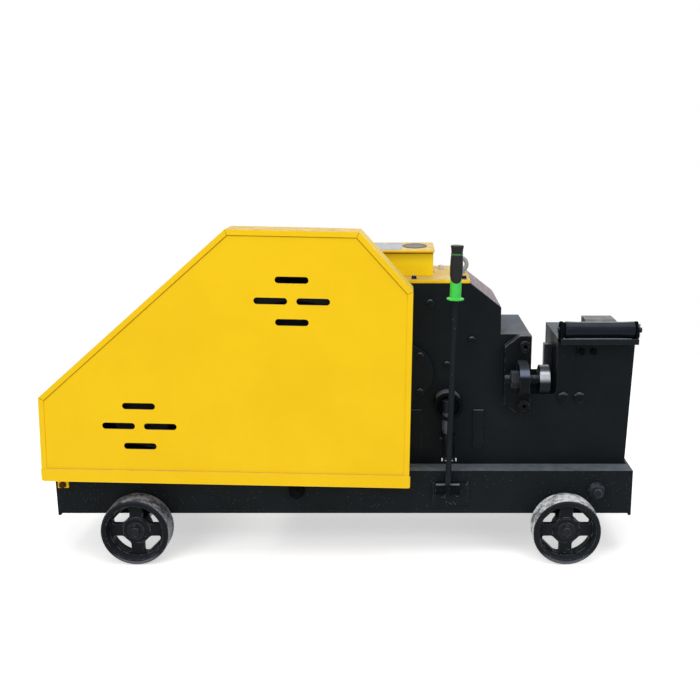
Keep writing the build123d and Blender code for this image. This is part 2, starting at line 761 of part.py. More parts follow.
# Bushes in the front wall
with BuildPart() as shaft_bushes:
    for shaft_x, shaft_z, shaft_radius in shafts:
        turn(shaft_x, shaft_z, body_front, body_front + WALL, shaft_radius + BUSH_WALL)
        bore = shaft_radius + RUNNING_CLEARANCE
        turn(shaft_x, shaft_z, body_front, body_front + WALL, bore, Mode.SUBTRACT)
save(shaft_bushes, "shaft_bushes")

# Bearing caps: a large one before the crank, one before the layshaft and three at the back
with BuildPart() as bearing_caps:
    turn(CRANK_X, DRIVE_Z, body_front - CRANK_CAP, body_front, CRANK_CAP_RADIUS)
    turn(layshaft_x, layshaft_z, body_front - CAP, body_front, LAYSHAFT_RADIUS + BUSH_WALL + CAP_MARGIN)
    for shaft_x, shaft_z, shaft_radius in shafts:
        turn(shaft_x, shaft_z, rear_face, rear_face + CAP, shaft_radius + BUSH_WALL + CAP_MARGIN)
save(bearing_caps, "bearing_caps")

# Drive shaft with its pinion
shaft_back = rear_face - SHAFT_END_GAP
pinion_front = FAST_GEAR_FRONT - PINION_OVERLAP
pinion_back = FAST_GEAR_FRONT + FAST_GEAR_WIDTH + PINION_OVERLAP
with BuildPart() as drive_shaft:
    turn(FLYWHEEL_X, DRIVE_Z, drive_shaft_front, shaft_back, DRIVE_SHAFT_RADIUS)
    gear(FLYWHEEL_X, DRIVE_Z, pinion_front, pinion_back, FAST_PINION_TEETH, FAST_MODULE, fast_mesh_angle)
save(drive_shaft, "drive_shaft")

# Layshaft with its pinion, and the gear keyed to it
slow_gear_front = body_front + WALL + GEAR_END_GAP
slow_gear_back = slow_gear_front + SLOW_GEAR_WIDTH
slow_pinion_front = slow_gear_front - PINION_OVERLAP
slow_pinion_back = slow_gear_back + PINION_OVERLAP
with BuildPart() as layshaft:
    turn(layshaft_x, layshaft_z, body_front + SHAFT_END_GAP, shaft_back, LAYSHAFT_RADIUS)
    gear(
        layshaft_x, layshaft_z, slow_pinion_front, slow_pinion_back,
        SLOW_PINION_TEETH, SLOW_MODULE, slow_mesh_angle,
    )
save(layshaft, "layshaft")

with BuildPart() as layshaft_gear:
    fast_gear_back = FAST_GEAR_FRONT + FAST_GEAR_WIDTH
    fast_gap_angle = fast_mesh_angle + pi + pi / FAST_GEAR_TEETH
    gear(
        layshaft_x, layshaft_z, FAST_GEAR_FRONT, fast_gear_back,
        FAST_GEAR_TEETH, FAST_MODULE, fast_gap_angle,
    )
    layshaft_seat = LAYSHAFT_RADIUS + SEAT_CLEARANCE
    turn(layshaft_x, layshaft_z, FAST_GEAR_FRONT, fast_gear_back, layshaft_seat, Mode.SUBTRACT)
save(layshaft_gear, "layshaft_gear")

# Bull gear, free on the crankshaft until the key couples it
with BuildPart() as bull_gear:
    slow_gap_angle = slow_mesh_angle + pi + pi / SLOW_GEAR_TEETH
    gear(CRANK_X, DRIVE_Z, slow_gear_front, slow_gear_back, SLOW_GEAR_TEETH, SLOW_MODULE, slow_gap_angle)
    bull_bore = CRANK_SEAT_RADIUS + RUNNING_CLEARANCE
    turn(CRANK_X, DRIVE_Z, slow_gear_front, slow_gear_back, bull_bore, Mode.SUBTRACT)
save(bull_gear, "bull_gear")

# Crankshaft with its eccentric, and the half-round key of the clutch
crank_pin_x = CRANK_X - ECCENTRICITY
eccentric_back = ECCENTRIC_WIDTH / 2
crank_seat_front = slow_gear_front - SHAFT_END_GAP
crank_seat_back = -eccentric_back - CRANK_NECK
key_z = DRIVE_Z + KEY_OFFSET
with BuildPart() as crankshaft:
    turn(CRANK_X, DRIVE_Z, body_front + SHAFT_END_GAP, crank_seat_front, CRANK_RADIUS)
    turn(CRANK_X, DRIVE_Z, crank_seat_front, crank_seat_back, CRANK_SEAT_RADIUS)
    turn(CRANK_X, key_z, crank_seat_front, crank_seat_back, KEY_RADIUS + SEAT_CLEARANCE, Mode.SUBTRACT)
    turn(CRANK_X, DRIVE_Z, crank_seat_back, -eccentric_back, CRANK_NECK_RADIUS)
    turn(crank_pin_x, DRIVE_Z, -eccentric_back, eccentric_back, ECCENTRIC_RADIUS)
    turn(CRANK_X, DRIVE_Z, eccentric_back, shaft_back, CRANK_RADIUS)
save(crankshaft, "crankshaft")

with BuildPart() as clutch_key:
    with BuildSketch(facing_front(crank_seat_front)):
        with Locations((CRANK_X, key_z)):
            Circle(KEY_RADIUS)
        with Locations((CRANK_X, DRIVE_Z)):
            Circle(CRANK_SEAT_RADIUS, mode=Mode.INTERSECT)
    extrude(amount=crank_seat_front - crank_seat_back)
save(clutch_key, "clutch_key")

# Connecting rod from the eccentric to the ram
with BuildPart() as connecting_rod:
    with BuildSketch(facing_front(-ROD_WIDTH / 2)):
        with Locations((crank_pin_x, DRIVE_Z)):
            Circle(ECCENTRIC_RADIUS + ROD_WALL)
        with Locations((crank_pin_x + ROD_LENGTH / 2, DRIVE_Z)):
            Rectangle(ROD_LENGTH, ROD_SHANK)
        with Locations((crank_pin_x + ROD_LENGTH, DRIVE_Z)):
            Circle(ROD_KNUCKLE)
        with Locations((crank_pin_x, DRIVE_Z)):
            Circle(ECCENTRIC_RADIUS + RUNNING_CLEARANCE, mode=Mode.SUBTRACT)
    extrude(amount=-ROD_WIDTH)
save(connecting_rod, "connecting_rod")

# Ram with the pocket for the rod's knuckle and the slot for the moving blade
wrist_pocket_end = crank_pin_x + ROD_LENGTH + ROD_KNUCKLE + WRIST_PLAY
wrist_pocket_top = DRIVE_Z + ROD_KNUCKLE + WRIST_GAP
wrist_pocket_bottom = DRIVE_Z - ECCENTRICITY - ROD_KNUCKLE - WRIST_GAP
moving_blade_left = RAM_FRONT + BLADE_LEAD - BLADE_LENGTH
blade_bolt_x = (moving_blade_left + RAM_FRONT) / 2
blade_head_front = -RAM_WIDTH / 2 + BLADE_BOLT_SINK
blade_head_back = blade_head_front + BLADE_BOLT_HEAD
blade_bolt_end = blade_head_front + BLADE_BOLT_LENGTH
with BuildPart() as ram:
    with BuildSketch(facing_right(RAM_BACK)):
        with Locations((0, DRIVE_Z)):
            Rectangle(RAM_WIDTH, RAM_HEIGHT)
    extrude(amount=RAM_FRONT - RAM_BACK)
    with BuildSketch(facing_right(RAM_BACK)):
        with Locations((0, (wrist_pocket_top + wrist_pocket_bottom) / 2)):
            Rectangle(ECCENTRIC_WIDTH, wrist_pocket_top - wrist_pocket_bottom)
    extrude(amount=wrist_pocket_end - RAM_BACK, mode=Mode.SUBTRACT)
    with BuildSketch(facing_right(moving_blade_left)):
        with Locations((moving_blade_y, DRIVE_Z)):
            Rectangle(BLADE_THICKNESS + 2 * SEAT_CLEARANCE, BLADE_HEIGHT + 2 * SEAT_CLEARANCE)
    extrude(amount=RAM_FRONT - moving_blade_left, mode=Mode.SUBTRACT)
    blade_head_seat = BLADE_BOLT_HEAD_RADIUS + HOLE_CLEARANCE
    blade_bolt_seat = BLADE_BOLT_RADIUS + SEAT_CLEARANCE
    turn(blade_bolt_x, DRIVE_Z, -RAM_WIDTH / 2, blade_head_back, blade_head_seat, Mode.SUBTRACT)
    turn(blade_bolt_x, DRIVE_Z, blade_head_back, blade_bolt_end, blade_bolt_seat, Mode.SUBTRACT)
save(ram, "ram")


# Shear blades: square-edged blocks, the moving one bolted through the ram
def make_blade(left, middle_y):
    with BuildPart() as blade:
        with BuildSketch(facing_right(left)):
            with Locations((middle_y, DRIVE_Z)):
                Rectangle(BLADE_THICKNESS, BLADE_HEIGHT)
        extrude(amount=BLADE_LENGTH)
    return blade


moving_blade = make_blade(moving_blade_left, moving_blade_y)
with moving_blade:
    blade_hole = BLADE_BOLT_RADIUS + HOLE_CLEARANCE
    turn(blade_bolt_x, DRIVE_Z, body_front, body_back, blade_hole, Mode.SUBTRACT)
save(moving_blade, "moving_blade")
save(make_blade(FIXED_BLADE_EDGE, fixed_blade_y), "fixed_blade")

with BuildPart() as moving_blade_bolt:
    turn(blade_bolt_x, DRIVE_Z, blade_head_front, blade_head_back, BLADE_BOLT_HEAD_RADIUS)
    turn(blade_bolt_x, DRIVE_Z, blade_head_back, blade_bolt_end, BLADE_BOLT_RADIUS)
save(moving_blade_bolt, "moving_blade_bolt")

# Belt grooves, the same on flywheel and pulley
belt_ys = [belt_plane + (belt - (BELTS - 1) / 2) * BELT_PITCH for belt in range(BELTS)]
groove_slope = tan(radians(GROOVE_ANGLE))
groove_play = LOOSE_CLEARANCE / cos(radians(GROOVE_ANGLE))
groove_top = BELT_WIDTH - 2 * BELT_PROUD * groove_slope + 2 * groove_play
groove_bottom = groove_top - 2 * GROOVE_DEPTH * groove_slope
belt_bottom = BELT_WIDTH - 2 * BELT_DEPTH * groove_slope


def grooved_rim(radius, front, back):
    """Outline of a grooved rim as radius and depth, from front to back."""
    outline = [(radius, front)]
    for y in belt_ys:
        outline.append((radius, y - groove_top / 2))
        outline.append((radius - GROOVE_DEPTH, y - groove_bottom / 2))
        outline.append((radius - GROOVE_DEPTH, y + groove_bottom / 2))
        outline.append((radius, y + groove_top / 2))
    outline.append((radius, back))
    return outline


# Flywheel, grooved for the belts
with BuildPart() as flywheel:
    rim_inside = FLYWHEEL_RADIUS - FLYWHEEL_RIM
    web_front = belt_plane - FLYWHEEL_WEB / 2
    web_back = belt_plane + FLYWHEEL_WEB / 2
    hub_front = flywheel_front + FLYWHEEL_HUB_SHORT
    hub_back = flywheel_back + FLYWHEEL_HUB_SHORT
    shaft_seat = DRIVE_SHAFT_RADIUS + SEAT_CLEARANCE
    with BuildSketch(Plane((FLYWHEEL_X, 0, DRIVE_Z), x_dir=(1, 0, 0), z_dir=(0, 0, 1))):
        with BuildLine():
            Polyline(
                (shaft_seat, hub_front),
                (FLYWHEEL_HUB, hub_front),
                (FLYWHEEL_HUB, web_front),
                (rim_inside, web_front),
                (rim_inside, flywheel_front),
                *grooved_rim(FLYWHEEL_RADIUS, flywheel_front, flywheel_back),
                (rim_inside, flywheel_back),
                (rim_inside, web_back),
                (FLYWHEEL_HUB, web_back),
                (FLYWHEEL_HUB, hub_back),
                (shaft_seat, hub_back),
                close=True,
            )
        make_face()
    revolve(axis=Axis((FLYWHEEL_X, 0, DRIVE_Z), (0, 1, 0)))
save(flywheel, "flywheel")

# Motor pulley
with BuildPart() as motor_pulley:
    pulley_front = belt_plane - PULLEY_WIDTH / 2
    pulley_back = belt_plane + PULLEY_WIDTH / 2
    motor_seat = MOTOR_SHAFT_RADIUS + SEAT_CLEARANCE
    with BuildSketch(Plane((MOTOR_X, 0, motor_z), x_dir=(1, 0, 0), z_dir=(0, 0, 1))):
        with BuildLine():
            Polyline(
                (motor_seat, pulley_front),
                *grooved_rim(PULLEY_RADIUS, pulley_front, pulley_back),
                (motor_seat, pulley_back),
                close=True,
            )
        make_face()
    revolve(axis=Axis((MOTOR_X, 0, motor_z), (0, 1, 0)))
save(motor_pulley, "motor_pulley")

# V-belts, each swept round pulley and flywheel on its outer line
belt_large = FLYWHEEL_RADIUS + BELT_PROUD
belt_small = PULLEY_RADIUS + BELT_PROUD
belt_rise = DRIVE_Z - motor_z
belt_run = FLYWHEEL_X - MOTOR_X
belt_tilt = degrees(atan2(belt_rise, belt_run))
belt_spread = degrees(asin((belt_large - belt_small) / hypot(belt_rise, belt_run)))
upper_angle = belt_tilt + 90 + belt_spread
lower_angle = belt_tilt - 90 - belt_spread


def belt_point(x, z, radius, angle):
    """Point where the belt leaves a wheel."""
    return (x + radius * cos(radians(angle)), z + radius * sin(radians(angle)))


with BuildPart() as v_belts:
    for y in belt_ys:
        with BuildLine(facing_front(y)) as belt_loop:
            Line(
                belt_point(MOTOR_X, motor_z, belt_small, upper_angle),
                belt_point(FLYWHEEL_X, DRIVE_Z, belt_large, upper_angle),
            )
            CenterArc((FLYWHEEL_X, DRIVE_Z), belt_large, upper_angle, lower_angle - upper_angle)
            Line(
                belt_point(FLYWHEEL_X, DRIVE_Z, belt_large, lower_angle),
                belt_point(MOTOR_X, motor_z, belt_small, lower_angle),
            )
            CenterArc((MOTOR_X, motor_z), belt_small, lower_angle, upper_angle - lower_angle - 360)
        belt_start = belt_point(MOTOR_X, motor_z, belt_small, upper_angle)
        run_angle = radians(upper_angle - 90)
        run_direction = (cos(run_angle), 0, sin(run_angle))
        with BuildSketch(Plane((belt_start[0], y, belt_start[1]), x_dir=(0, 1, 0), z_dir=run_direction)):
            with BuildLine():
                Polyline(
                    (-BELT_WIDTH / 2, 0),
                    (BELT_WIDTH / 2, 0),
                    (belt_bottom / 2, -BELT_DEPTH),
                    (-belt_bottom / 2, -BELT_DEPTH),
                    close=True,
                )
            make_face()
        sweep(path=belt_loop.wires()[0])
save(v_belts, "v_belts")

# Motor plate across the channels
with BuildPart() as motor_plate:
    with BuildSketch(level(chassis_top)):
        with Locations((MOTOR_X, 0)):
            Rectangle(MOTOR_PLATE_LENGTH, CHASSIS_WIDTH)
    extrude(amount=MOTOR_PLATE)
save(motor_plate, "motor_plate")


def motor_face(y):
    """Upright plane at depth y with its origin on the motor's axis."""
    return Plane((MOTOR_X, y, motor_z), x_dir=(1, 0, 0), z_dir=(0, -1, 0))


# Motor: ribbed frame with end shields, feet and terminal box
with BuildPart() as motor_housing:
    frame_middle = MOTOR_FRONT + MOTOR_LENGTH / 2
    fin_height = MOTOR_RADIUS + MOTOR_FIN_HEIGHT
    with BuildSketch(motor_face(MOTOR_FRONT)):
        Circle(MOTOR_RADIUS)
        with PolarLocations(fin_height / 2, MOTOR_FINS):
            Rectangle(fin_height, MOTOR_FIN_WIDTH)
    extrude(amount=-MOTOR_LENGTH)
    for shield_front in (MOTOR_FRONT, motor_back - MOTOR_SHIELD):
        turn(MOTOR_X, motor_z, shield_front, shield_front + MOTOR_SHIELD, MOTOR_SHIELD_RADIUS)
    with BuildSketch(motor_face(frame_middle - MOTOR_FOOT_LENGTH / 2)):
        foot_outside = (MOTOR_FOOT_SPACING + MOTOR_FOOT_WIDTH) / 2
        foot_inside = foot_outside - MOTOR_FOOT_WIDTH
        for hand in (-1, 1):
            with BuildLine():
                Polyline(
                    (hand * foot_inside, -MOTOR_SHAFT_HEIGHT),
                    (hand * foot_outside, -MOTOR_SHAFT_HEIGHT),
                    (hand * foot_outside, MOTOR_FOOT - MOTOR_SHAFT_HEIGHT),
                    (hand * (foot_inside + MOTOR_LEG_WIDTH), MOTOR_FOOT - MOTOR_SHAFT_HEIGHT),
                    (hand * (foot_inside + MOTOR_LEG_WIDTH / 2), -MOTOR_LEG_DROP),
                    (hand * (foot_inside - MOTOR_LEG_WIDTH / 2), -MOTOR_LEG_DROP),
                    close=True,
                )
            make_face()
    extrude(amount=-MOTOR_FOOT_LENGTH)
    with BuildSketch(level(motor_z)):
        with Locations((MOTOR_X, frame_middle)):
            Rectangle(TERMINAL_BOX_LENGTH, TERMINAL_BOX_WIDTH)
    extrude(amount=TERMINAL_BOX_RISE)
    turn(MOTOR_X, motor_z, MOTOR_FRONT, motor_back, MOTOR_SHAFT_RADIUS + RUNNING_CLEARANCE, Mode.SUBTRACT)
save(motor_housing, "motor_housing")

# Motor shaft, fan and fan cowl
cowl_back = motor_back + COWL_LENGTH
fan_front = motor_back + FAN_GAP
fan_back = fan_front + FAN_WIDTH
with BuildPart() as motor_shaft:
    turn(MOTOR_X, motor_z, pulley_front - SHAFT_END_GAP, fan_back + SHAFT_END_GAP, MOTOR_SHAFT_RADIUS)
save(motor_shaft, "motor_shaft")

with BuildPart() as motor_fan:
    with BuildSketch(motor_face(fan_front)):
        Circle(FAN_HUB)
        with PolarLocations(FAN_RADIUS / 2, FAN_BLADES):
            Rectangle(FAN_RADIUS, FAN_BLADE)
        Circle(MOTOR_SHAFT_RADIUS + SEAT_CLEARANCE, mode=Mode.SUBTRACT)
    extrude(amount=-FAN_WIDTH)
save(motor_fan, "motor_fan")

with BuildPart() as fan_cowl:
    cowl_inside = MOTOR_SHIELD_RADIUS + SEAT_CLEARANCE
    turn(MOTOR_X, motor_z, motor_back - COWL_LAP, cowl_back, cowl_inside + COWL_WALL)
    turn(MOTOR_X, motor_z, motor_back - COWL_LAP, cowl_back - COWL_WALL, cowl_inside, Mode.SUBTRACT)
    with BuildSketch(motor_face(cowl_back - COWL_WALL)):
        with PolarLocations(COWL_SLOT_CIRCLE, COWL_SLOTS):
            Rectangle(COWL_SLOT_LENGTH, COWL_SLOT_WIDTH)
    extrude(amount=-COWL_WALL, mode=Mode.SUBTRACT)
save(fan_cowl, "fan_cowl")


# Belt guard, which leans a little on its bottom right corner
def hood_face(y):
    """Upright plane at depth y with its origin at the guard's bottom right corner."""
    lean = radians(HOOD_LEAN)
    return Plane((HOOD_CORNER_X, y, HOOD_CORNER_Z), x_dir=(cos(lean), 0, -sin(lean)), z_dir=(0, -1, 0))


hood_outline = (
    (0, 0),
    (0, HOOD_RIGHT_HEIGHT),
    (-HOOD_TOP_RIGHT, HOOD_HEIGHT),
    (-HOOD_TOP_LEFT, HOOD_HEIGHT),
    (-HOOD_WIDTH + HOOD_LEFT_TAPER, HOOD_LEFT_HEIGHT),
    (-HOOD_WIDTH, 0),
)


def hood_sheet(y, inset):
    """Outline of the guard at depth y, drawn in by inset."""
    with BuildSketch(hood_face(y)) as sheet:
        with BuildLine():
            Polyline(*hood_outline, close=True)
        make_face()
        if inset:
            offset(amount=-inset, kind=Kind.INTERSECTION)
    return sheet.sketch


panel_front = hood_front + HOOD_SHEET
panel_back = panel_front + HOOD_SHEET
hood_back = hood_front + HOOD_DEPTH
with BuildPart() as hood_panel:
    extrude(hood_sheet(panel_front, HOOD_SHEET + SEAT_CLEARANCE), amount=-HOOD_SHEET)
    with BuildSketch(hood_face(panel_front)):
        for group_x, group_z in ((UPPER_VENT_X, UPPER_VENT_Z), (LOWER_VENT_X, LOWER_VENT_Z)):
            with Locations((group_x, group_z)):
                with PolarLocations(VENT_PITCH, 4, rotate=False):
                    SlotOverall(VENT_LENGTH, VENT_HEIGHT)
    extrude(amount=-HOOD_SHEET, mode=Mode.SUBTRACT)
save(hood_panel, "hood_panel")

# Rim of the guard: front flange, folded sides and a back sheet round the body, cut away over the chassis
with BuildPart() as hood_rim:
    extrude(hood_sheet(hood_front, 0), amount=-HOOD_DEPTH)
    extrude(hood_sheet(panel_front, HOOD_SHEET), amount=-HOOD_DEPTH, mode=Mode.SUBTRACT)
    extrude(hood_sheet(hood_front, HOOD_FLANGE), amount=-HOOD_SHEET, mode=Mode.SUBTRACT)
    body_side = HOOD_CORNER_X - BODY_LEFT + HOOD_BODY_GAP
    with BuildSketch(hood_face(hood_back)):
        with BuildLine():
            Polyline(*hood_outline, close=True)
        make_face()
        Rectangle(2 * body_side, 2 * HOOD_WINDOW_HEIGHT, mode=Mode.SUBTRACT)
    extrude(amount=HOOD_SHEET)
    shaft_hole = PULLEY_RADIUS + HOOD_SHAFT_GAP
    turn(MOTOR_X, motor_z, hood_back - HOOD_SHEET, hood_back, shaft_hole, Mode.SUBTRACT)
    with BuildSketch(level(chassis_top + MOTOR_PLATE + HOOD_CHASSIS_GAP)):
        with Locations((MOTOR_X, hood_back)):
            Rectangle(MOTOR_PLATE_LENGTH + 2 * HOOD_CHASSIS_GAP, 2 * HOOD_SHEET)
    extrude(amount=-CHANNEL_HEIGHT, mode=Mode.SUBTRACT)
    chassis_clear_front = -web_face - BRACKET_SHEET - HOOD_CHASSIS_GAP
    with BuildSketch(level(chassis_top + HOOD_CHASSIS_GAP)):
        with Locations((HOOD_CORNER_X, (chassis_clear_front + hood_back) / 2)):
            Rectangle(2 * HOOD_WIDTH + 2 * HOOD_DEPTH, hood_back - chassis_clear_front)
    extrude(amount=-CHANNEL_HEIGHT, mode=Mode.SUBTRACT)
save(hood_rim, "hood_rim")

# Angle rail along the guard's bottom edge
with BuildPart() as hood_rail:
    rail_left = -HOOD_WIDTH
    rail_length = HOOD_WIDTH + HOOD_RAIL_PROUD
    with BuildSketch(hood_face(hood_front)):
        with Locations((rail_left + rail_length / 2, HOOD_RAIL / 2)):
            Rectangle(rail_length, HOOD_RAIL)
    extrude(amount=HOOD_SHEET)
    with BuildSketch(hood_face(hood_front - HOOD_SHEET)):
        with Locations((rail_left + rail_length / 2, -HOOD_SHEET / 2)):
            Rectangle(rail_length, HOOD_SHEET)
    extrude(amount=-HOOD_RAIL_LEG - HOOD_SHEET)
save(hood_rail, "hood_rail")

# Brackets that carry the guard on the front channel
with BuildPart() as hood_brackets:
    for x in (left_bracket_x, RIGHT_BRACKET_X):
        with BuildSketch(facing_right(x - BRACKET_WIDTH / 2)):
            with BuildLine():
                Polyline(
                    (-web_face, BRACKET_BOTTOM),
                    (-web_face, BRACKET_LEDGE + BRACKET_SHEET),
                    (panel_back + BRACKET_SHEET, BRACKET_LEDGE + BRACKET_SHEET),
                    (panel_back + BRACKET_SHEET, BRACKET_TOP),
                    (panel_back, BRACKET_TOP),
                    (panel_back, BRACKET_LEDGE),
                    (-web_face - BRACKET_SHEET, BRACKET_LEDGE),
                    (-web_face - BRACKET_SHEET, BRACKET_BOTTOM),
                    close=True,
                )
            make_face()
        extrude(amount=BRACKET_WIDTH)
save(hood_brackets, "hood_brackets")

# Top cover of the gearbox
with BuildPart() as top_cover:
    with BuildSketch(level(BODY_TOP)):
        with Locations(((COVER_LEFT + BODY_TOP_RIGHT) / 2, 0)):
            Rectangle(BODY_TOP_RIGHT - COVER_LEFT, body_depth)
    extrude(amount=COVER)
save(top_cover, "top_cover")

# Switch box and its lid
switch_box_x = (SWITCH_BOX_LEFT + SWITCH_BOX_RIGHT) / 2
switch_box_y = SWITCH_BOX_FRONT + SWITCH_BOX_DEPTH / 2
switch_box_length = SWITCH_BOX_RIGHT - SWITCH_BOX_LEFT
switch_box_top = cover_top + SWITCH_BOX_HEIGHT
with BuildPart() as switch_box:
    with BuildSketch(level(cover_top)):
        with Locations((switch_box_x, switch_box_y)):
            Rectangle(switch_box_length, SWITCH_BOX_DEPTH)
    extrude(amount=SWITCH_BOX_HEIGHT)
    offset(amount=-SWITCH_BOX_SHEET, openings=switch_box.faces().sort_by(Axis.Z)[-1])
save(switch_box, "switch_box")

with BuildPart() as switch_box_lid:
    with BuildSketch(level(switch_box_top + SWITCH_BOX_SHEET)):
        with Locations((switch_box_x, switch_box_y)):
            Rectangle(switch_box_length + 2 * LID_OVERHANG, SWITCH_BOX_DEPTH + 2 * LID_OVERHANG)
    extrude(amount=-LID_HEIGHT)
    with BuildSketch(level(switch_box_top)):
        with Locations((switch_box_x, switch_box_y)):
            lid_inside = 2 * (LID_OVERHANG - SWITCH_BOX_SHEET)
            Rectangle(switch_box_length + lid_inside, SWITCH_BOX_DEPTH + lid_inside)
    extrude(amount=-LID_HEIGHT, mode=Mode.SUBTRACT)
save(switch_box_lid, "switch_box_lid")

# Oil plug and lifting eye on the top cover
with BuildPart() as oil_plug:
    with BuildSketch(level(cover_top)):
        with Locations((PLUG_X, PLUG_Y)):
            Circle(PLUG_COLLAR_RADIUS)
    extrude(amount=PLUG_COLLAR)
    with BuildSketch(level(cover_top + PLUG_COLLAR)):
        with Locations((PLUG_X, PLUG_Y)):
            RegularPolygon(hexagon(PLUG_FLATS), 6)
    extrude(amount=PLUG_HEAD)
save(oil_plug, "oil_plug")

with BuildPart() as lifting_eye:
    eye_z = EYE_TOP_Z - EYE_RADIUS
    with BuildSketch(facing_front(EYE_THICKNESS / 2)):
        with Locations((EYE_X, eye_z)):
            Circle(EYE_RADIUS)
    extrude(amount=EYE_THICKNESS)
    chamfer(lifting_eye.edges(), EYE_EDGE)
    with BuildSketch(level(cover_top)):
        with Locations((EYE_X, 0)):
            Circle(EYE_COLLAR_RADIUS)
    extrude(amount=EYE_COLLAR)
    with BuildSketch(facing_front(EYE_COLLAR_RADIUS)):
        with Locations((EYE_X, eye_z)):
            Circle(EYE_BORE)
    extrude(amount=2 * EYE_COLLAR_RADIUS, mode=Mode.SUBTRACT)
    split(bisect_by=level(cover_top), keep=Keep.TOP)
save(lifting_eye, "lifting_eye")

# Clutch housing, open at the front, and the plunger in it
clutch_front = body_front - CLUTCH_DEPTH
plunger_bore = PLUNGER_RADIUS + SLIDING_CLEARANCE
with BuildPart() as clutch_housing:
    turn(CLUTCH_X, CLUTCH_Z, clutch_front, body_front, CLUTCH_RADIUS)
    recess_back = clutch_front + CLUTCH_RECESS
    turn(CLUTCH_X, CLUTCH_Z, clutch_front, recess_back, CLUTCH_RADIUS - CLUTCH_RING, Mode.SUBTRACT)
    with BuildSketch(level(CLUTCH_Z - CLUTCH_RADIUS)):
        with Locations((CLUTCH_X, plunger_y)):
            Circle(plunger_bore)
    extrude(amount=PLUNGER_TOP + PLUNGER_ROOM - CLUTCH_Z + CLUTCH_RADIUS, mode=Mode.SUBTRACT)
save(clutch_housing, "clutch_housing")

with BuildPart() as clutch_plunger:
    collar_bottom = PLUNGER_COLLAR_TOP - PLUNGER_COLLAR
    tongue_end = PLUNGER_EYE_Z - PLUNGER_TONGUE_WIDTH / 2
    with BuildSketch(level(PLUNGER_COLLAR_TOP)):
        with Locations((CLUTCH_X, plunger_y)):
            Circle(PLUNGER_RADIUS)
    extrude(amount=PLUNGER_TOP - PLUNGER_COLLAR_TOP)
    with BuildSketch(level(collar_bottom)):
        with Locations((CLUTCH_X, plunger_y)):
            Circle(PLUNGER_COLLAR_RADIUS)
    extrude(amount=PLUNGER_COLLAR)
    with BuildSketch(level(tongue_end)):
        with Locations((CLUTCH_X, plunger_y)):
            Rectangle(PLUNGER_TONGUE, PLUNGER_TONGUE_WIDTH)
    extrude(amount=collar_bottom - tongue_end)
    with BuildSketch(facing_right(CLUTCH_X)):
        with Locations((plunger_y, PLUNGER_EYE_Z)):
            Circle(LINK_PIN_RADIUS)
    extrude(amount=LINK_PIN_LENGTH / 2, both=True)
save(clutch_plunger, "clutch_plunger")

# Hand lever with its cross pin, which leans a little to the cutting end
lever_lean = radians(LEVER_LEAN)
lever_pin_x = LEVER_X + LEVER_PIN_HEIGHT * tan(lever_lean)
lever_pin_z = LEVER_PIVOT_Z + LEVER_PIN_HEIGHT


def lever_face(height):
    """Plane square to the lever at a height above its pivot."""
    foot = Plane(
        (LEVER_X, lever_y, LEVER_PIVOT_Z),
        x_dir=(cos(lever_lean), 0, -sin(lever_lean)),
        z_dir=(sin(lever_lean), 0, cos(lever_lean)),
    )
    return foot.offset(height)


with BuildPart() as lever:
    with BuildSketch(lever_face(LEVER_ROD_START)):
        Circle(LEVER_RADIUS)
    extrude(amount=LEVER_LENGTH - LEVER_ROD_START)
    with BuildSketch(facing_right(LEVER_X - LEVER_FLAT / 2)):
        with Locations((lever_y, LEVER_PIVOT_Z)):
            Circle(LEVER_EYE_RADIUS)
        with Locations((lever_y, LEVER_PIVOT_Z + LEVER_FLAT_LENGTH / 2)):
            Rectangle(2 * LEVER_RADIUS, LEVER_FLAT_LENGTH)
        with Locations((lever_y, LEVER_PIVOT_Z)):
            Circle(PIVOT_RADIUS + RUNNING_CLEARANCE, mode=Mode.SUBTRACT)
    extrude(amount=LEVER_FLAT)
    with BuildSketch(facing_right(lever_pin_x)):
        with Locations((lever_y, lever_pin_z)):
            Circle(LINK_PIN_RADIUS)
    extrude(amount=LINK_PIN_LENGTH / 2, both=True)
save(lever, "lever")

# Egg-shaped pull links from the lever's cross pin to the plunger's, slack at the plunger
with BuildPart() as pull_links:
    link_hole = LINK_PIN_RADIUS + LOOSE_CLEARANCE
    slack_hole = link_hole + LINK_SLACK
    for hand in (-1, 1):
        link_plane = facing_right(lever_pin_x + hand * LINK_SPACING / 2 - LINK_SHEET / 2)
        for bar, mode in ((LINK_BAR, Mode.ADD), (0, Mode.SUBTRACT)):
            with BuildSketch(link_plane):
                with Locations((lever_y, lever_pin_z)):
                    Circle(link_hole + bar)
                with Locations((plunger_y, PLUNGER_EYE_Z)):
                    Circle(slack_hole + bar)
                make_hull()
            extrude(amount=LINK_SHEET, mode=mode)
save(pull_links, "pull_links")

# Lever foot: base on the front channel, two lugs and the pivot pin
lug_gap = LEVER_FLAT + 2 * LOOSE_CLEARANCE
lug_lefts = (LEVER_X - lug_gap / 2 - LEVER_LUG_WIDTH, LEVER_X + lug_gap / 2)
base_face = -web_face - LEVER_BASE
with BuildPart() as lever_bracket:
    with BuildSketch(facing_front(-web_face)):
        base_middle = ((LEVER_BASE_LEFT + LEVER_BASE_RIGHT) / 2, (LEVER_BASE_BOTTOM + LEVER_BASE_TOP) / 2)
        with Locations(base_middle):
            Rectangle(LEVER_BASE_RIGHT - LEVER_BASE_LEFT, LEVER_BASE_TOP - LEVER_BASE_BOTTOM)
    extrude(amount=LEVER_BASE)
    for lug_left in lug_lefts:
        with BuildSketch(facing_right(lug_left)):
            with Locations((lever_y, LEVER_PIVOT_Z)):
                Circle(LEVER_LUG_RADIUS)
            with Locations(((lever_y + base_face) / 2, LEVER_PIVOT_Z)):
                Rectangle(base_face - lever_y, 2 * LEVER_LUG_RADIUS)
            with Locations((lever_y, LEVER_PIVOT_Z)):
                Circle(PIVOT_RADIUS + SEAT_CLEARANCE, mode=Mode.SUBTRACT)
        extrude(amount=LEVER_LUG_WIDTH)
